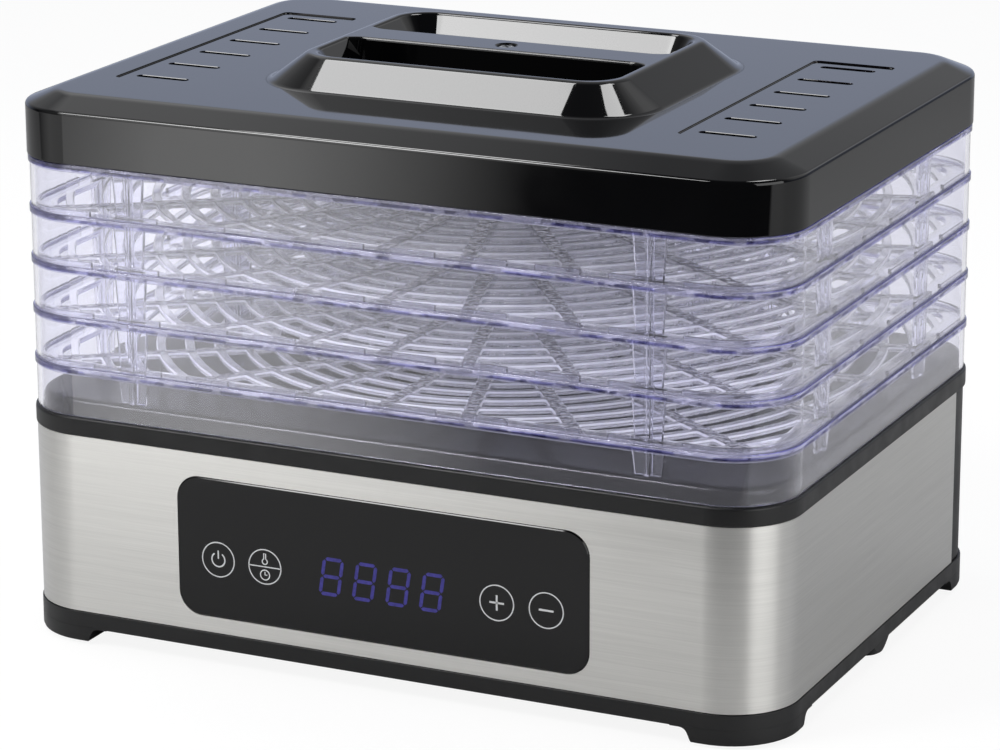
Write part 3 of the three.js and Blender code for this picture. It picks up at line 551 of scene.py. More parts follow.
TRAY_INSET, SKIRT_INSET, SKIRT_INNER = 0.3, 1.0, 2.8  # from the whole outline
RIM, FLOOR, LIP = 3.1, 2.2, 2.0  # heights of the rim's edge, of the floor and of the lip on it
LIP_OUTER, LIP_INNER = 3.1, 4.7
SPOKES = 20
SLOT, PITCH, FIRST = 8.0, 12.0, 15.0  # a slot's width, the rings' step and the first one's radius
RIB_HALF = 3.2  # half of a spoke between two slots

gloss = gloss_black_abs()
satin = satin_black_abs()
charcoal = charcoal_deck_abs()
steel = brushed_steel()
acrylic = black_backed_acrylic()
tray_finish = [clear_wall(), edge_with_painted_shade(), stippled_floor(), slot_edge_painted_highlight()]
print_white = plain("white_ink", "#e4e6e8", "#eeeff0", 0.5, 2)
digit_ink = plain("violet_segments", "#383388", "#4a44a8", 0.35, 1.5)
rubber = plain("black_rubber", "#181818", "#202020", 0.85, 1.5)
zinc = plain("zinc_plated_steel", "#a9abad", "#c0c2c3", 0.32, 3, Metallic=1.0)

# ---------- base


CORNERS = ("front_left", "front_right", "rear_left", "rear_right")
SCREWS = [middle_of(f"deck_screw_{at}") for at in CORNERS]
PADS = {at: middle_of(f"foot_pad_{at}") for at in CORNERS}
TOUCHES = ("power", "mode", "plus", "minus")
TOUCH_Z = (place("touch_spring_plus")[0][2] + place("touch_spring_plus")[1][2]) / 2

POST = 4.5  # radius of the post that a screw goes into
SCREW_HOLE = 1.8  # radius
GRILLE_RINGS, GRILLE_SECTORS = 5, 12
GRILLE_FIRST, GRILLE_STEP, GRILLE_SLOT, GRILLE_RIB = 13, 8.4, 5.4, 1.6


def grille_cutters(z0, z1):
    """Curved slots in rings round a hub, which let the air in and out."""
    parts = []
    for k in range(GRILLE_RINGS):
        inner = GRILLE_FIRST + GRILLE_STEP * k
        outer = inner + GRILLE_SLOT
        for i in range(GRILLE_SECTORS):
            start, end = (2 * math.pi * j / GRILLE_SECTORS for j in (i, i + 1))
            levels = [slot_outline(inner, outer, start, end, GRILLE_RIB, z) for z in (z0, z1)]
            parts.append(loft(levels))
    return join(parts)


def slot_outline(inner, outer, start, end, rib, z, arc_steps=6):
    """A curved slot between two radii and two spokes, with rounded corners."""
    points = []
    for radius, first, last in ((inner, start, end), (outer, end, start)):
        lean = rib / radius
        a0 = first + (lean if first < last else -lean)
        a1 = last - (lean if first < last else -lean)
        turns = [a0 + (a1 - a0) * k / arc_steps for k in range(arc_steps + 1)]
        points += [(radius * math.cos(t), radius * math.sin(t)) for t in turns]
    n, corner = arc_steps + 1, 1.3
    trims = [corner if i in (0, n - 1, n, 2 * n - 1) else 0 for i in range(2 * n)]
    return [(x, y, z) for x, y in soften(points, trims, 3, closed=True)]


def tub_mesh():
    """The tub: floor, band, feet, the wall behind the steel, the grille, collar and posts."""
    wall_in, wall_out, wall_top = 3.8, 1.6, STEEL_TOP - GAP
    profile = [(wall_in, TUB_FLOOR), (wall_in, wall_top), (wall_out, wall_top)]
    profile += [(wall_out, BAND_TOP), (0, BAND_TOP), (0, TUB_BOTTOM), (4, TUB_BOTTOM)]
    profile = soften(profile, [0, 0, 0, 0, 0.3, 1.0, 0])
    mesh = mesh_of(loft(body_rings(profile)))
    mesh = cut(mesh, box_part(-HALF_X, HALF_X, STEEL_END, HALF_Y, BAND_TOP, STEEL_TOP))
    return front_openings(inner_fittings(with_feet(mesh)))


def with_feet(mesh):
    """Adds a foot under each corner and a small rest under the middle of each side."""
    inside = TUB_BOTTOM + 0.6  # how high a foot runs into the tub
    outline = loft(body_rings([(1.2, 1.2), (0.35, 1.45), (0.0, 2.3), (0.0, inside)]))
    rest_outline = loft(body_rings([(0.0, 2.0), (0.0, TUB_BOTTOM + OVER)]))
    sole, root, spread = 33, 36.6, 43  # half sizes of a foot, from its sole up
    side = [(sole, 1.2), (sole + 1.0, 1.2), (root, TUB_BOTTOM), (spread, TUB_BOTTOM)]
    side = [*soften(side, [0, 0.7, 2.6, 0], 6), (spread, inside)]
    for sx in (-1, 1):
        for sy in (-1, 1):
            foot = loft([ring(half, half, 8 + half - sole, z, 8) for half, z in side])
            mesh = add(mesh, common(moved(foot, sx * HALF_X, sy * HALF_Y), outline))
        rest_low = TUB_BOTTOM - 4.4
        rest = [(7.2, rest_low), (8, rest_low + 0.5), (12, inside)]
        mesh = add(mesh, common(turned(rest, 32, sx * (HALF_X - 8)), rest_outline))
    return mesh


def inner_fittings(mesh):
    """Adds posts and the duct's collar, and cuts pad pockets, screw holes and the intake grille."""
    sunk = TUB_FLOOR - 0.5  # posts start inside the floor
    post_top, low_post_top, collar_top = 39.7, 15.7, 36
    boards = [middle_of(f"power_board_screw_{at}") for at in ("front", "rear")]
    posts = [disc(5.5, sunk, post_top, x, y) for x, y in SCREWS]
    motor = [(-44, 0), (44, 0)]  # the posts of its bracket
    posts += [disc(POST, sunk, low_post_top, x, y) for x, y in motor + boards]
    collar = [(DUCT_INNER, sunk), (DUCT_OUTER, sunk)]
    collar += [(r, collar_top) for r in (DUCT_OUTER, DUCT_INNER)]
    posts.append(loft([circle(r, z, 64) for r, z in collar], closed=True))
    mesh = add(mesh, *posts)
    cuts = [disc(7.3, -OVER, 2.8, x, y) for x, y in PADS.values()]
    cuts += [disc(3.7, -OVER, 12.2, x, y) for x, y in SCREWS]
    cuts += [disc(SCREW_HOLE, 0, post_top + 1.3, x, y) for x, y in SCREWS]
    brackets = [middle_of(f"bracket_screw_{at}") for at in ("left", "right")]
    cuts += [disc(SCREW_HOLE, TUB_FLOOR, 17, x, y) for x, y in brackets + boards]
    # a notch in the collar for the motor's leads
    cuts.append(box_part(-DUCT_OUTER - OVER, -DUCT_INNER + OVER, -4, 4, 30, collar_top + 1))
    return cut(mesh, *cuts, grille_cutters(TUB_BOTTOM - OVER, TUB_FLOOR + OVER))


def front_openings(mesh):
    """Cuts the windows behind the control panel and adds the posts of its board."""
    board_front = place("control_board")[0][1]
    (x0, _, z0), (x1, _, z1) = place("display_module")
    room = 0.4  # air round the display
    mesh = cut(mesh, box_part(x0 - room, x1 + room, FRONT, board_front, z0 - room, z1 + room))
    for key in TOUCHES:
        x = middle_of(f"touch_spring_{key}")[0]
        mesh = cut(mesh, rod(4.3, FRONT, board_front, x, TOUCH_Z))
    for at in ("left", "right"):
        x = middle_of(f"control_board_screw_{at}")[0]
        mesh = add(mesh, rod(3, FRONT + 3.3, board_front - GAP, x, TOUCH_Z))
        mesh = cut(mesh, rod(SCREW_HOLE, FRONT + 3.8, board_front, x, TOUCH_Z))
    return mesh


piece("base_housing", tub_mesh(), [satin], "base", ["base_tub"])

PANEL_LOW, PANEL_HIGH = place("control_panel")
PANEL_X, PANEL_Z = ((PANEL_LOW[i] + PANEL_HIGH[i]) / 2 for i in (0, 2))
PANEL_HALF = [(PANEL_HIGH[i] - PANEL_LOW[i]) / 2 for i in (0, 2)]
PANEL_RADIUS = 10.0


def panel_part(grow, front, back, bevel):
    """The panel's outline as a solid, from front to back behind the front plane of the object."""
    hx, hz, r = PANEL_HALF[0] + grow, PANEL_HALF[1] + grow, PANEL_RADIUS + grow
    steps = [(0, -back), (0, -front - bevel), (bevel, -front)]
    slab = loft([ring(hx - i, hz - i, r - i, z) for i, z in steps])
    return moved(slab, PANEL_X, FRONT, PANEL_Z, FRONTWARD)


def steel_mesh():
    """The steel sheet round the front and sides, with the opening for the control panel."""
    outer, inner, top = 0.5, 1.3, STEEL_TOP - GAP
    profile = [(outer, STEEL_LOW), (outer, top), (inner, top), (inner, STEEL_LOW)]
    mesh = mesh_of(loft(body_rings(profile, 20), closed=True))
    mesh = cut(mesh, box_part(-HALF_X, HALF_X, STEEL_END, HALF_Y, 0, RING_TOP))
    return cut(mesh, panel_part(GAP, -OVER, 3.0, 0.1))


piece("steel_sleeve", steel_mesh(), [steel], "base", ["steel_wrap"])
panel = mesh_of(panel_part(0, 0.06, 1.3, 0.4))
piece("touch_panel", panel, [acrylic], "base", ["control_panel"])

INK = -0.07, -0.01  # back and front of a printed mark, behind the front plane


def round_line(radius, sides, y=0.0):
    """Points all the way round a circle, each once."""
    return arc(radius, 0, 360 - 360 / sides, 0, y, sides - 1)


def touch_marks():
    """Circles with signs for power, mode, more and less. Mode is a thermometer over a clock."""
    line, fine, bold, radius = 0.62, 0.5, 0.8, 7.35
    signs = {
        "power": [(arc(3.0, 125, 415), line, False), ([(0, 0.4), (0, 3.9)], line, False)],
        "mode": [
            ([(-radius, 0), (radius, 0)], fine, False),
            (arc(1.15, -250, 70, 0, 2.2), fine, False),
            ([(-0.45, 3.2), (-0.45, 5.6), (0.45, 5.6), (0.45, 3.2)], fine, False),
            (round_line(2.1, 32, -3.5), fine, True),
            ([(0, -2.1), (0, -3.5), (1.0, -3.5)], fine, False),
        ],
        "plus": [([(-3.2, 0), (3.2, 0)], bold, False), ([(0, -3.2), (0, 3.2)], bold, False)],
        "minus": [([(-3.2, 0), (3.2, 0)], bold, False)],
    }
    parts = []
    for key, strokes in signs.items():
        x = middle_of(f"touch_spring_{key}")[0]
        outer = (round_line(radius, 64), fine, True)
        for points, width, closed in [outer, *strokes]:
            mark = stroke(points, width, *INK, closed)
            parts.append(moved(mark, x, FRONT, TOUCH_Z, FRONTWARD))
    return join(parts)


piece("touch_marks", mesh_of(touch_marks()), [print_white], "base")


def segment(x0, x1, z0, z1, lean, half=0.75):
    """One bar of a digit from one end to the other, with pointed ends, leaning with its digit."""
    along = (Vector((x1, z1)) - Vector((x0, z0))).normalized()
    side = Vector((-along.y, along.x)) * half
    a, b = Vector((x0, z0)) + along * 0.35, Vector((x1, z1)) - along * 0.35
    inner = along * half
    outline = [a, a + inner - side, b - inner - side, b, b - inner + side, a + inner + side]
    return loft([[(p.x + lean * p.y, p.y, z) for p in outline] for z in INK])


def digits():
    """Four seven-bar digits, all their bars faintly visible."""
    width, height, lean, foot = 8.1, 14.9, 0.15, 39.2
    bars = [(0, width, z, z) for z in (0, height / 2, height)]
    bars += [(x, x, z, z + height / 2) for x in (0, width) for z in (0, height / 2)]
    parts = []
    for left in (-26.0, -11.0, 4.0, 19.0):
        parts += [moved(segment(*bar, lean), left, FRONT, foot, FRONTWARD) for bar in bars]
    return join(parts)


piece("display_digits", mesh_of(digits()), [digit_ink], "base")


GLAND_LOW, GLAND_HIGH = place("cord_gland")
GLAND_X, GLAND_Z = ((GLAND_LOW[i] + GLAND_HIGH[i]) / 2 for i in (0, 2))


def rear_mesh():
    """The moulded rear of the base, with its vents and the hole for the cord's gland."""
    top = STEEL_TOP - GAP
    profile = [(1, STEEL_LOW), (1, top), (3.4, top), (3.4, STEEL_LOW)]
    profile = soften(profile, [0.4, 0.4, 0, 0], 3, closed=True)
    mesh = mesh_of(loft(body_rings(profile, 20), closed=True))
    mesh = cut(mesh, box_part(-HALF_X, HALF_X, -HALF_Y, STEEL_END + GAP, 0, RING_TOP))
    lip_top = STEEL_TOP - 7.6
    lip, web = (  # the lip runs behind the steel, and the web joins it to the wall
        loft(body_rings([(a, STEEL_LOW), (a, lip_top), (b, lip_top), (b, STEEL_LOW)]), closed=True)
        for a, b in ((4.1, 5.9), (2, 5))
    )
    seam = STEEL_END + GAP
    behind = box_part(-HALF_X, HALF_X, seam, seam + 3, 0, RING_TOP)
    lap = box_part(-HALF_X, HALF_X, STEEL_END - 9, seam + 3, 0, RING_TOP)
    mesh = add(mesh, common(lip, lap), common(web, behind))
    middle_z = (STEEL_LOW + STEEL_TOP) / 2
    half_x, half_z, spot, step = 15, 1.3, -20, 7
    levels = ((0.6, 0.0), (0.6, 0.95), (0.0, 1.6), (0.0, 8.0))  # how much wider at each depth
    for i in range(5):
        rings = [ring(half_x + g, half_z + g, 1.25 + g, d - HALF_Y, 4, 0.01) for g, d in levels]
        mesh = cut(mesh, moved(loft(rings), spot, 0, middle_z + (i - 2) * step, FRONTWARD))
    return cut(mesh, rod(6.3, HALF_Y - 8, HALF_Y, GLAND_X, GLAND_Z))


piece("rear_moulding", rear_mesh(), [satin], "base", ["rear_panel"])


def gland_mesh():
    """A round bushing with a flange on each side of the rear wall, its mouth eased for a cord."""
    inner, outer, wall = GLAND_LOW[1], GLAND_HIGH[1], HALF_Y - 3.7
    bore, neck, flange, lip = 3.8, 6, 9, 0.7 - outer
    profile = [(bore, -inner), (flange, -inner), (flange, -wall), (neck, -wall)]
    profile += [(neck, lip), (flange, lip), (flange, -outer), (bore, -outer)]
    profile = soften(profile, [0.6, 0.6, 0.2, 0.2, 0.1, 0.15, 0.45, 0.6], 4, closed=True)
    rings = [circle(r, w, 40) for r, w in profile]
    return mesh_of(moved(loft(rings, closed=True), GLAND_X, 0, GLAND_Z, FRONTWARD))


piece("cord_bushing", gland_mesh(), [rubber], "base", ["cord_gland"])
pad_profile = [(4.6, 0.25), (5.0, 0.0), (6.2, 0.0), (6.85, 0.25), (7, 0.8), (7, 2.5)]
for at, spot in PADS.items():
    pad = turned(pad_profile, 40, *spot)
    piece(f"rubber_foot_{at}", mesh_of(pad), [rubber], "base", [f"foot_pad_{at}"])


def deck_mesh():
    """The ring over the steel, and the plateau under the trays with the outlet grille in it."""
    profile = [(6.3, DECK_CEILING), (6.3, DECK_LOW), (4.1, DECK_LOW), (4.1, STEEL_TOP)]
    profile += [(0, STEEL_TOP), (0, RING_TOP), (3.5, RING_TOP)]
    profile += [(3.5, PLATEAU_TOP), (9, PLATEAU_TOP)]
    profile = soften(profile, [0, 0, 0, 0, 0.4, 1.1, 0.9, 3.0, 0])
    mesh = mesh_of(loft(body_rings(profile)))
    mesh = add(mesh, *[disc(POST, 40, DECK_CEILING + 0.5, x, y) for x, y in SCREWS])
    mesh = cut(mesh, *[disc(SCREW_HOLE, 39, 52, x, y) for x, y in SCREWS])
    return cut(mesh, grille_cutters(DECK_CEILING - OVER, PLATEAU_TOP + OVER))


def deck_zone(x, y, z):
    """Satin black on the ring and below it, charcoal on the plateau."""
    return 1 if z > RING_TOP - 0.05 and past_outline(x, y) < -3.2 else 0


piece("deck", deck_mesh(), [satin, charcoal], "base", ["top_deck"], zone=deck_zone)

# ---------- trays


def slot_cutters():
    """The slots of a tray's floor, flared so that the ribs are round above and eased below."""
    round_top, steps = 0.8, 4
    turns = [math.pi / 2 * i / steps for i in range(steps + 1)]
    flares = [(-FLOOR - 0.1, 0.35), (-FLOOR + 0.25, 0.0)]
    flares += [(round_top * (math.sin(t) - 1), round_top * (1 - math.cos(t))) for t in turns]
    flares.append((0.1, round_top))
    parts = []
    rings_out = int((math.hypot(HALF_X, HALF_Y) - FIRST) / PITCH)
    for k in range(rings_out):
        inner = FIRST + k * PITCH
        spokes = SPOKES if inner > 50 else SPOKES // 2
        for i in range(spokes):
            span = 2 * math.pi * i / spokes, 2 * math.pi * (i + 1) / spokes
            sizes = [(inner - f, inner + SLOT + f, *span, RIB_HALF - f, z) for z, f in flares]
            parts.append(loft([slot_outline(*size) for size in sizes]))
    return join(parts)


def lip_gaps():
    """Gaps in the lip, evenly spaced along each side."""
    gap, step = 6.0, 31.0
    parts = []
    for side in (-1, 1):
        y0, y1 = sorted((side * (HALF_Y - LIP_OUTER + 0.5), side * (HALF_Y - LIP_INNER - 0.5)))
        for k in range(-4, 5):
            parts.append(box_part(k * step - gap, k * step + gap, y0, y1, 0.05, LIP + OVER))
        x0, x1 = sorted((side * (HALF_X - LIP_OUTER + 0.5), side * (HALF_X - LIP_INNER - 0.5)))
        for k in range(-2, 3):
            parts.append(box_part(x0, x1, k * step - gap, k * step + gap, 0.05, LIP + OVER))
    return join(parts)


def leg_parts(top_half, foot_half, z_top, z_foot):
    """An upright tapered tab, and the rib down its middle."""
    parts = []
    for half_top, half_foot, b in ((top_half, foot_half, 1.0), (1.3, 1.1, 2.4)):
        rings = []
        for a, z in ((half_foot, z_foot), (half_top, z_top)):
            corners = soften([(a, -b), (a, b), (-a, b), (-a, -b)], [0.35] * 4, 2, closed=True)
            rings.append([(x, y, z) for x, y in corners])
        parts.append(loft(rings))
    return parts


def tray_mesh(leg_length):
    """A tray with the top of its rim at z = 0."""
    skirt_low = place("tray_1")[0][2] - place("tray_1")[1][2] + LIP
    profile = [(SKIRT_INNER, -FLOOR), (SKIRT_INNER, skirt_low), (SKIRT_INSET, skirt_low)]
    profile += [(SKIRT_INSET, -RIM), (TRAY_INSET, -RIM), (TRAY_INSET, 0), (LIP_OUTER, 0)]
    profile += [(LIP_OUTER, LIP), (LIP_INNER, LIP), (LIP_INNER, 0), (9, 0)]
    profile = soften(profile, [0.4, 0.4, 0.4, 0.2, 0.35, 0.5, 0.3, 0.35, 0.35, 0.3, 0], 3)
    mesh = mesh_of(loft(body_rings(profile, 12)))
    edge = 11  # how far from the outline the slots stop
    region = [ring(HALF_X - edge, HALF_Y - edge, CORNER - 9, z) for z in (-FLOOR - OVER, OVER)]
    mesh = cut(mesh, common(slot_cutters(), loft(region)), lip_gaps())
    legs = leg_parts(7.25, 5.75, -FLOOR + 0.5, -leg_length)
    for x, y, angle in ((114.3, HALF_Y - 8, 0), (103, 46, 0), (HALF_X - 8.5, 57, 90)):
        turn = Matrix.Rotation(math.radians(angle), 3, "Z")
        for sx in (-1, 1):
            for sy in (-1, 1):
                mesh = add(mesh, *[moved(leg, sx * x, sy * y, 0, turn) for leg in legs])
    from_corner = 17
    stud = [(5.2, -0.3), (5.0, 0.35), (4.6, 0.5)]
    return add(mesh, turned(stud, 32, HALF_X - from_corner, -HALF_Y + from_corner))


def trays():
    """Five trays of two patterns. Every other one is turned half round."""
    tops = {level: place(f"tray_{level}")[1][2] - LIP for level in range(1, 6)}
    upper = tray_mesh(tops[1] - tops[2] - GAP)
    lowest = tray_mesh(tops[5] - PLATEAU_TOP - GAP)
    for level, top in tops.items():
        mesh = lowest if level == 5 else upper.copy()
        turn = Matrix.Rotation(math.pi if level % 2 == 0 else 0, 4, "Z")
        mesh.transform(Matrix.Translation((0, 0, top * MM)) @ turn)

        def zone(x, y, z, top=top):
            edge = past_outline(x, y)
            on_floor = edge < -8
            # the rims, whose material carries the painted shade lines
            if z - top > -RIM - 0.1 and edge > -2.6:
                return 1
            if on_floor and -0.78 < z - top < -0.06:  # the slots' rounded edges, in the painted highlight material
                return 3
            return 2 if on_floor and z - top > -FLOOR - 0.1 else 0

        name, slot = f"tray_{level}", "clear_tray_plastic"
        piece(f"clear_{name}", mesh, tray_finish, f"{name}_body", [name], 34, zone)
    bpy.data.meshes.remove(upper)


trays()

# ---------- lid

FIELD_DEPTH = 0.6
FIELD_HALF_X, FIELD_HALF_Y, FIELD_RADIUS = 18, 75, 2.6
FIELD_MIDDLE = 125.5
VENTS, VENT_STEP, VENT_HALF_X = 6, 26.4, 12
VENT_HALF = 1.9  # half of a vent's width, under its sloped edges


def lid_mesh():
    """The lid: walls, a sloping shoulder and a flat top with a vent field on each side."""
    profile = [(LID_WALL + CHAMFER, LID_TOP - LID_PLATE), (LID_WALL, SHOULDER - LID_PLATE)]
    profile += [(LID_WALL, LID_LOW), (0, LID_LOW), (0, SHOULDER)]
    profile += [(CHAMFER, LID_TOP), (CHAMFER + 6, LID_TOP)]
    mesh = mesh_of(loft(body_rings(soften(profile, [0, 0, 0, 0.35, 1.3, 2.2, 0], 5), 18)))
    field = [(-0.12, -FIELD_DEPTH), (0.0, -0.48), (0.03, -0.1), (0.12, 0.0), (0.12, OVER)]
    slot = [(0.0, -4.0), (0.0, -0.21), (0.15, 0.0), (0.15, OVER)]  # from the field's floor
    sizes = [(FIELD_HALF_X + g, FIELD_HALF_Y + g, FIELD_RADIUS + g, LID_TOP + z) for g, z in field]
    recess = loft([ring(*size, 5) for size in sizes])
    levels = [(VENT_HALF + g, g, LID_TOP - FIELD_DEPTH + z) for g, z in slot]
    vent = loft([ring(VENT_HALF_X + g, half, half - 0.05, z, 4, 0.01) for half, g, z in levels])
    rows = [(i - (VENTS - 1) / 2) * VENT_STEP for i in range(VENTS)]
    for side in (-1, 1):
        mesh = cut(mesh, moved(recess, side * FIELD_MIDDLE))
        mesh = cut(mesh, join([moved(vent, side * FIELD_MIDDLE, row) for row in rows]))
        y0, y1 = sorted((side * 7.5, side * 45.3))  # a hole under each half of the handle's basin
        mesh = cut(mesh, box_part(-63.3, 63.3, y0, y1, LID_TOP - 4, LID_TOP + OVER))
    mesh = add(mesh, disc(POST, LID_TOP - 1, place("lid_shell")[1][2]))
    return cut(mesh, disc(SCREW_HOLE, LID_TOP - 4, LID_TOP + 8))


piece("lid_cover", lid_mesh(), [gloss], "lid", ["lid_shell"])

BASE_X, BASE_Y, BASE_R = 88.0, 70.0, 32.0  # half sizes and corner radius of the handle's foot
SLOPE_RUN = 17.0
BASIN_X, BASIN_Y, BASIN_R = 67.5, 49.5, 14.0  # the same for the basin's edge
BASIN_DEPTH, BASIN_TAPER = 19.0, 12.0
BAR_HALF = 9.8  # half of the bar's width


def flank_ring(inset, z):
    """A ring round the handle's outer slope."""
    return ring(BASE_X - inset, BASE_Y - inset, BASE_R - inset, z, 16)


def basin_ring(inset, z):
    """A ring round the handle's basin, whose corners get tighter inwards."""
    return ring(BASIN_X - inset, BASIN_Y - inset, max(BASIN_R - 0.85 * inset, 3.5), z, 16)


def handle_mesh():
    """A low mound with a flat crest round a basin, and a bar across the basin to lift by."""
    wall, floor_z, crest_in = 2.0, HANDLE_TOP - BASIN_DEPTH, SLOPE_RUN + 1.75
    foot_z = LID_TOP + 0.02  # the mound stands just clear of the lid
    flank = [(0, foot_z), (1.6, foot_z), (SLOPE_RUN, HANDLE_TOP), (crest_in, HANDLE_TOP)]
    basin = [(-1.75, HANDLE_TOP), (0, HANDLE_TOP), (BASIN_TAPER, floor_z), (26, floor_z)]
    rings = [basin_ring(BASIN_TAPER - wall, floor_z - wall), basin_ring(-wall, HANDLE_TOP - 2.2)]
    rings += [flank_ring(SLOPE_RUN - 1.5, HANDLE_TOP - 2.2), flank_ring(2.4, foot_z)]
    rings += [flank_ring(*p) for p in soften(flank, [0, 1.5, 1.6, 0], 5)]
    rings += [basin_ring(*p) for p in soften(basin, [0, 1.3, 3.0, 0], 5)[1:]]
    mesh = mesh_of(loft(rings))
    end = BASIN_X + 1.5
    half = soften([(end, -BAR_HALF - 4), (end - 5.5, -BAR_HALF), (0, -BAR_HALF)], [0, 4, 0], 5)
    outline = [(x, y) for x, y in half] + [(-x, y) for x, y in reversed(half[:-1])]
    outline += [(x, -y) for x, y in reversed(outline)]
    bar = [[(x, y, floor_z - 0.5) for x, y in outline]]
    for inset, z in soften([(0, -1.2), (0, 0), (1.2, 0)], [0, 1.19, 0], 5):
        bar.append([(x, y * (1 - inset / BAR_HALF), HANDLE_TOP + z) for x, y in outline])
    mesh = add(mesh, loft(bar))
    recess = [(4.3, -3), (4.3, -0.6), (4.9, 0), (4.9, 1)]  # for the screw's head
    recess = turned([(radius, HANDLE_TOP + z) for radius, z in recess])
    return cut(mesh, recess, disc(SCREW_HOLE, HANDLE_TOP - 12, HANDLE_TOP))


def handle_hollow(mesh):
    """Hollows the bar from below."""
    low_z, half_y = HANDLE_TOP - BASIN_DEPTH - 3, 7.8
    return cut(mesh, box_part(-62, 62, -half_y, half_y, low_z, HANDLE_TOP - 5.5))


handle = handle_hollow(handle_mesh())
piece("handle_moulding", handle, [gloss], "lid", ["lid_handle"])


def screw_mesh(node_name):
    """A pan-head screw with a cross recess."""
    low_corner, high_corner = place(node_name)
    x, y = middle_of(node_name)
    radius, top = (high_corner[0] - low_corner[0]) / 2, high_corner[2]
    head = [(1.5, top - 2.4), (radius, top - 2.4), (radius, top - 1.3), (radius - 0.25, top - 0.7)]
    head += [(radius - 0.9, top - 0.2), (1.2, top)]
    mesh = mesh_of(turned([(0.5, low_corner[2]), (1.5, low_corner[2] + 1.4), *head], 32, x, y))
    for turn in (45, 135):
        blade = box_part(-2.0, 2.0, -0.45, 0.45, top - 1.5, top + OVER)
        mesh = cut(mesh, moved(blade, x, y, 0, Matrix.Rotation(math.radians(turn), 3, "Z")))
    return mesh


screw = screw_mesh("handle_screw")
piece("handle_screw_pan_head", screw, [zinc], "lid", ["handle_screw"])

# ---------- inner pieces keep their CAD shape

finishes = {
    "satin_black_plastic": satin,
    "circuit_board": plain("fibreglass_board", "#1d5437", "#23633f", 0.45, 4),
    "display_plastic": plain("display_plastic", "#26263a", "#2e2e44", 0.35, 5),
    "spring_wire": plain("nickel_spring_wire", "#a39d96", "#b9b3ab", 0.3, 1, Metallic=1.0),
    "zinc_sheet": plain("galvanised_sheet", "#a4a7a9", "#bfc1c2", 0.4, 6, Metallic=1.0),
    "motor_steel": plain("motor_steel", "#8a8782", "#9c9993", 0.38, 5, Metallic=1.0),
    "mica_board": plain("mica_board", "#a8977a", "#c4b595", 0.6, 5),
    "component_white": plain("white_nylon", "#dcdad3", "#e8e6e0", 0.5, 4),
    "lead_insulation": plain("silicone_lead", "#2a2a2c", "#343437", 0.6, 3),
    "zinc_fasteners": zinc,
}
for subpart in frame["record"]["subparts"]:
    finish = finishes.get(subpart["material_slot"])
    obj = frame["nodes"][subpart["node"]]
    if finish and not obj.hide_render:
        obj.data.materials.clear()
        obj.data.materials.append(finish)

# ---------- camera, floor and lights


def aim(obj, spot, target, roll=0.0):
    """Puts a lamp or the camera in its place and turns it to its target."""
    obj.location = spot
    look = (Vector(target) - Vector(spot)).to_track_quat("-Z", "Y").to_matrix()
    obj.rotation_euler = (look @ Matrix.Rotation(math.radians(roll), 3, "Z")).to_euler()


def camera():
    """A long lens in front of the object, to its right and above it."""
    data = bpy.data.cameras.new("camera")
    data.sensor_width, data.lens = 36, 145.6  # millimetres
    obj = placed("camera", data)
    azimuth, elevation, roll = math.radians(25.29), math.radians(16.37), -0.184
    distance, target = 1.7104, Vector((-0.0034, 0.0, 0.1008))
    back = Vector((math.sin(azimuth), -math.cos(azimuth), 0)) * math.cos(elevation)
    back.z = math.sin(elevation)
    aim(obj, target + distance * back, target, roll)
    bpy.context.scene.camera = obj


def softbox(name, spot, size_x, size_y, luminance, target=None):
    """A lamp of even brightness, unseen by the camera. It faces its target, or straight down."""
    data = bpy.data.lights.new(name, "AREA")
    data.shape = "RECTANGLE"
    data.size, data.size_y = size_x, size_y
    data.energy = luminance * math.pi * size_x * size_y
    obj = placed(name, data)
    obj.visible_camera = False
    aim(obj, spot, target or (spot[0], spot[1], 0))


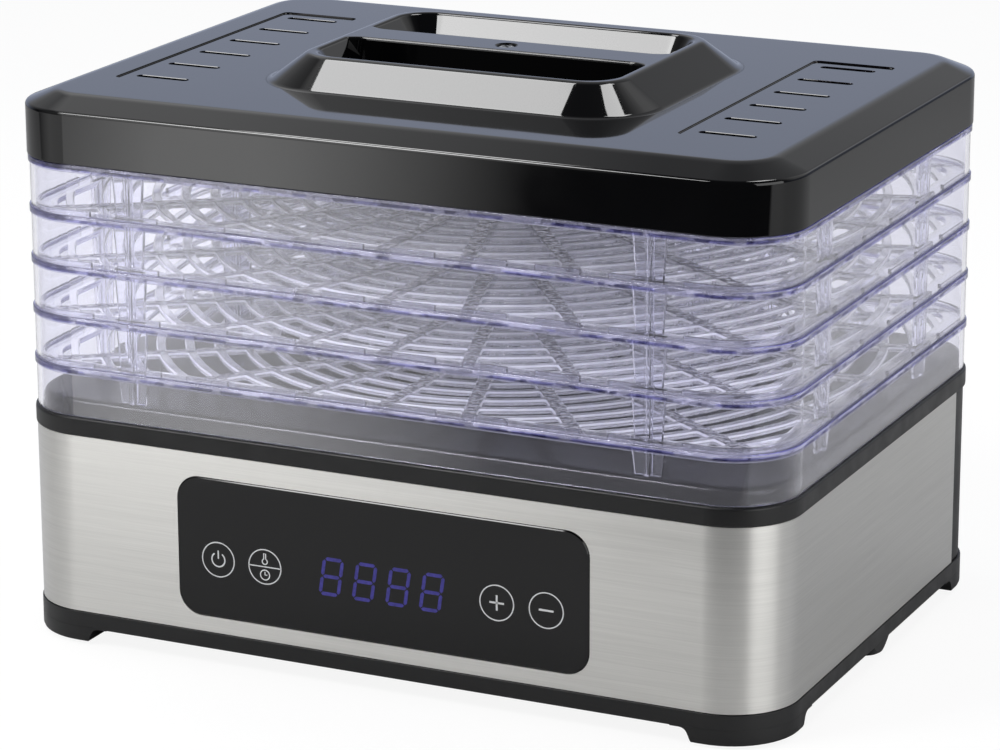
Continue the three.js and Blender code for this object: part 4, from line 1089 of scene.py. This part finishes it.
def studio():
    """A dim room, brighter behind and to the left. The camera, and clear plastic, see white."""
    world = bpy.data.worlds.new("studio")
    bpy.context.scene.world = world
    world.use_nodes = True
    tree = world.node_tree
    tree.nodes.clear()
    where = node(tree, "ShaderNodeTexCoord").outputs["Generated"]
    split = node(tree, "ShaderNodeSeparateXYZ", {"Vector": where}).outputs
    x, y, z = (split[axis] for axis in "XYZ")
    rise = faded(tree, [(z, 0.24, 0.36, 0, 1)])
    links = {"Factor": rise, "A": linear("#c2cbe2"), "B": linear("#cbcccf")}
    backdrop = node(tree, "ShaderNodeMix", links, data_type="RGBA").outputs["Result"]
    fades = [(y, -0.1, 0.45, 0, 1), (z, 0.25, 0.45, 1, 0.52)]
    fades += [(z, 0.8, 0.95, 1, 0.3), (x, 0.2, 0.36, 1, 0.3)]
    links = {"Factor": faded(tree, fades), "A": linear("#3a3b3e"), "B": backdrop}
    shade = node(tree, "ShaderNodeMix", links, data_type="RGBA").outputs["Result"]
    front, above = (y, -0.6, -0.2, 1, 0), (z, 0.7, 0.9, 1, 0)
    washes = (  # strength, and how it fades with direction
        (0.65, [(x, -0.48, -0.38, 1, 0), (x, -0.6, -0.53, 0.2, 1), (z, 0.3, 0.5, 0, 1)]),
        (0.6, [(x, 0.1, 0.25, 0, 1), (y, 0.2, 0.5, 0, 1), (z, 0.2, 0.35, 0, 1), above]),
        (2.9, [(x, -0.465, -0.408, 1, 0), (x, -0.52, -0.49, 0.3, 1), front, (z, -0.1, 0.0, 1, 0)]),
        (1.9, [(x, -0.445, -0.385, 1, 0), (x, -0.6, -0.48, 0.1, 1), front, (z, -0.05, 0.05, 0, 1)]),
    )
    for strength, fades in washes:
        links = {0: shade, 1: faded(tree, fades, strength)}
        shade = node(tree, "ShaderNodeVectorMath", links, operation="ADD").outputs[0]
    room = node(tree, "ShaderNodeBackground", {"Color": shade, "Strength": 1.0})
    white = node(tree, "ShaderNodeBackground", {"Color": (1, 1, 1, 1), "Strength": 1.0})
    path = node(tree, "ShaderNodeLightPath").outputs
    through = faded(tree, [(y, -0.3, 0.3, 0.75, 1)], path["Is Transmission Ray"])
    links = {0: path["Is Camera Ray"], 1: through}
    seen = node(tree, "ShaderNodeMath", links, operation="MAXIMUM").outputs[0]
    mix = node(tree, "ShaderNodeMixShader", {0: seen, 1: room.outputs[0], 2: white.outputs[0]})
    node(tree, "ShaderNodeOutputWorld", {"Surface": mix.outputs[0]})


def floor():
    """White board under the object. It ends in front, so that the gloss mirrors the dim room."""
    mesh = bpy.data.meshes.new("floor")
    front, far, side = -0.4, 2.5, 2.2
    corners = [(-side, front, 0), (side, front, 0), (side, far, 0), (-side, far, 0)]
    mesh.from_pydata(corners, [], [(0, 1, 2, 3)])
    obj = placed("floor", mesh)
    material, tree, shader, where, output = surface("white_board", "#d4d4d4", 0.7)
    uneven((tree, shader, where), "Base Color", 300, linear("#d2d2d2"), linear("#d6d6d6"))
    glow = node(tree, "ShaderNodeEmission", {"Strength": 1.12})
    path = node(tree, "ShaderNodeLightPath").outputs
    links = {0: path["Is Camera Ray"], 1: path["Is Transmission Ray"]}
    seen = node(tree, "ShaderNodeMath", links, operation="MAXIMUM").outputs[0]
    share = faded(tree, [(seen, 0.0, 1.0, 0.0, 0.8)])
    mix = node(tree, "ShaderNodeMixShader", {0: share, 1: shader.outputs[0], 2: glow.outputs[0]})
    depth = node(tree, "ShaderNodeSeparateXYZ", {"Vector": where}).outputs["Y"]
    gone = node(tree, "ShaderNodeBsdfTransparent")
    within = faded(tree, [(depth, front, front + 0.06, 0, 1)])
    links = {0: within, 1: gone.outputs[0], 2: mix.outputs[0]}
    soft_edge = node(tree, "ShaderNodeMixShader", links)
    tree.links.new(soft_edge.outputs[0], output.inputs["Surface"])
    mesh.materials.append(material)


camera()
studio()
floor()
middle = (0, 0, 0.15)  # in metres, as are the lamps' places
softbox("overhead_left", (-0.583, 0.12, 1.42), 0.25, 0.45, 10.0)
softbox("front_left", (-0.63, -0.80, 1.30), 0.5, 0.5, 14.0, middle)
softbox("overhead_right", (0.28, 0.42, 1.5), 0.26, 0.5, 10.0)
softbox("right_side", (1.5, -0.55, 0.5), 1.2, 1.2, 2.1, middle)

scene = bpy.context.scene
scene.view_settings.view_transform = "Standard"
scene.cycles.max_bounces = 24
scene.cycles.transmission_bounces = 24
scene.cycles.transparent_max_bounces = 16
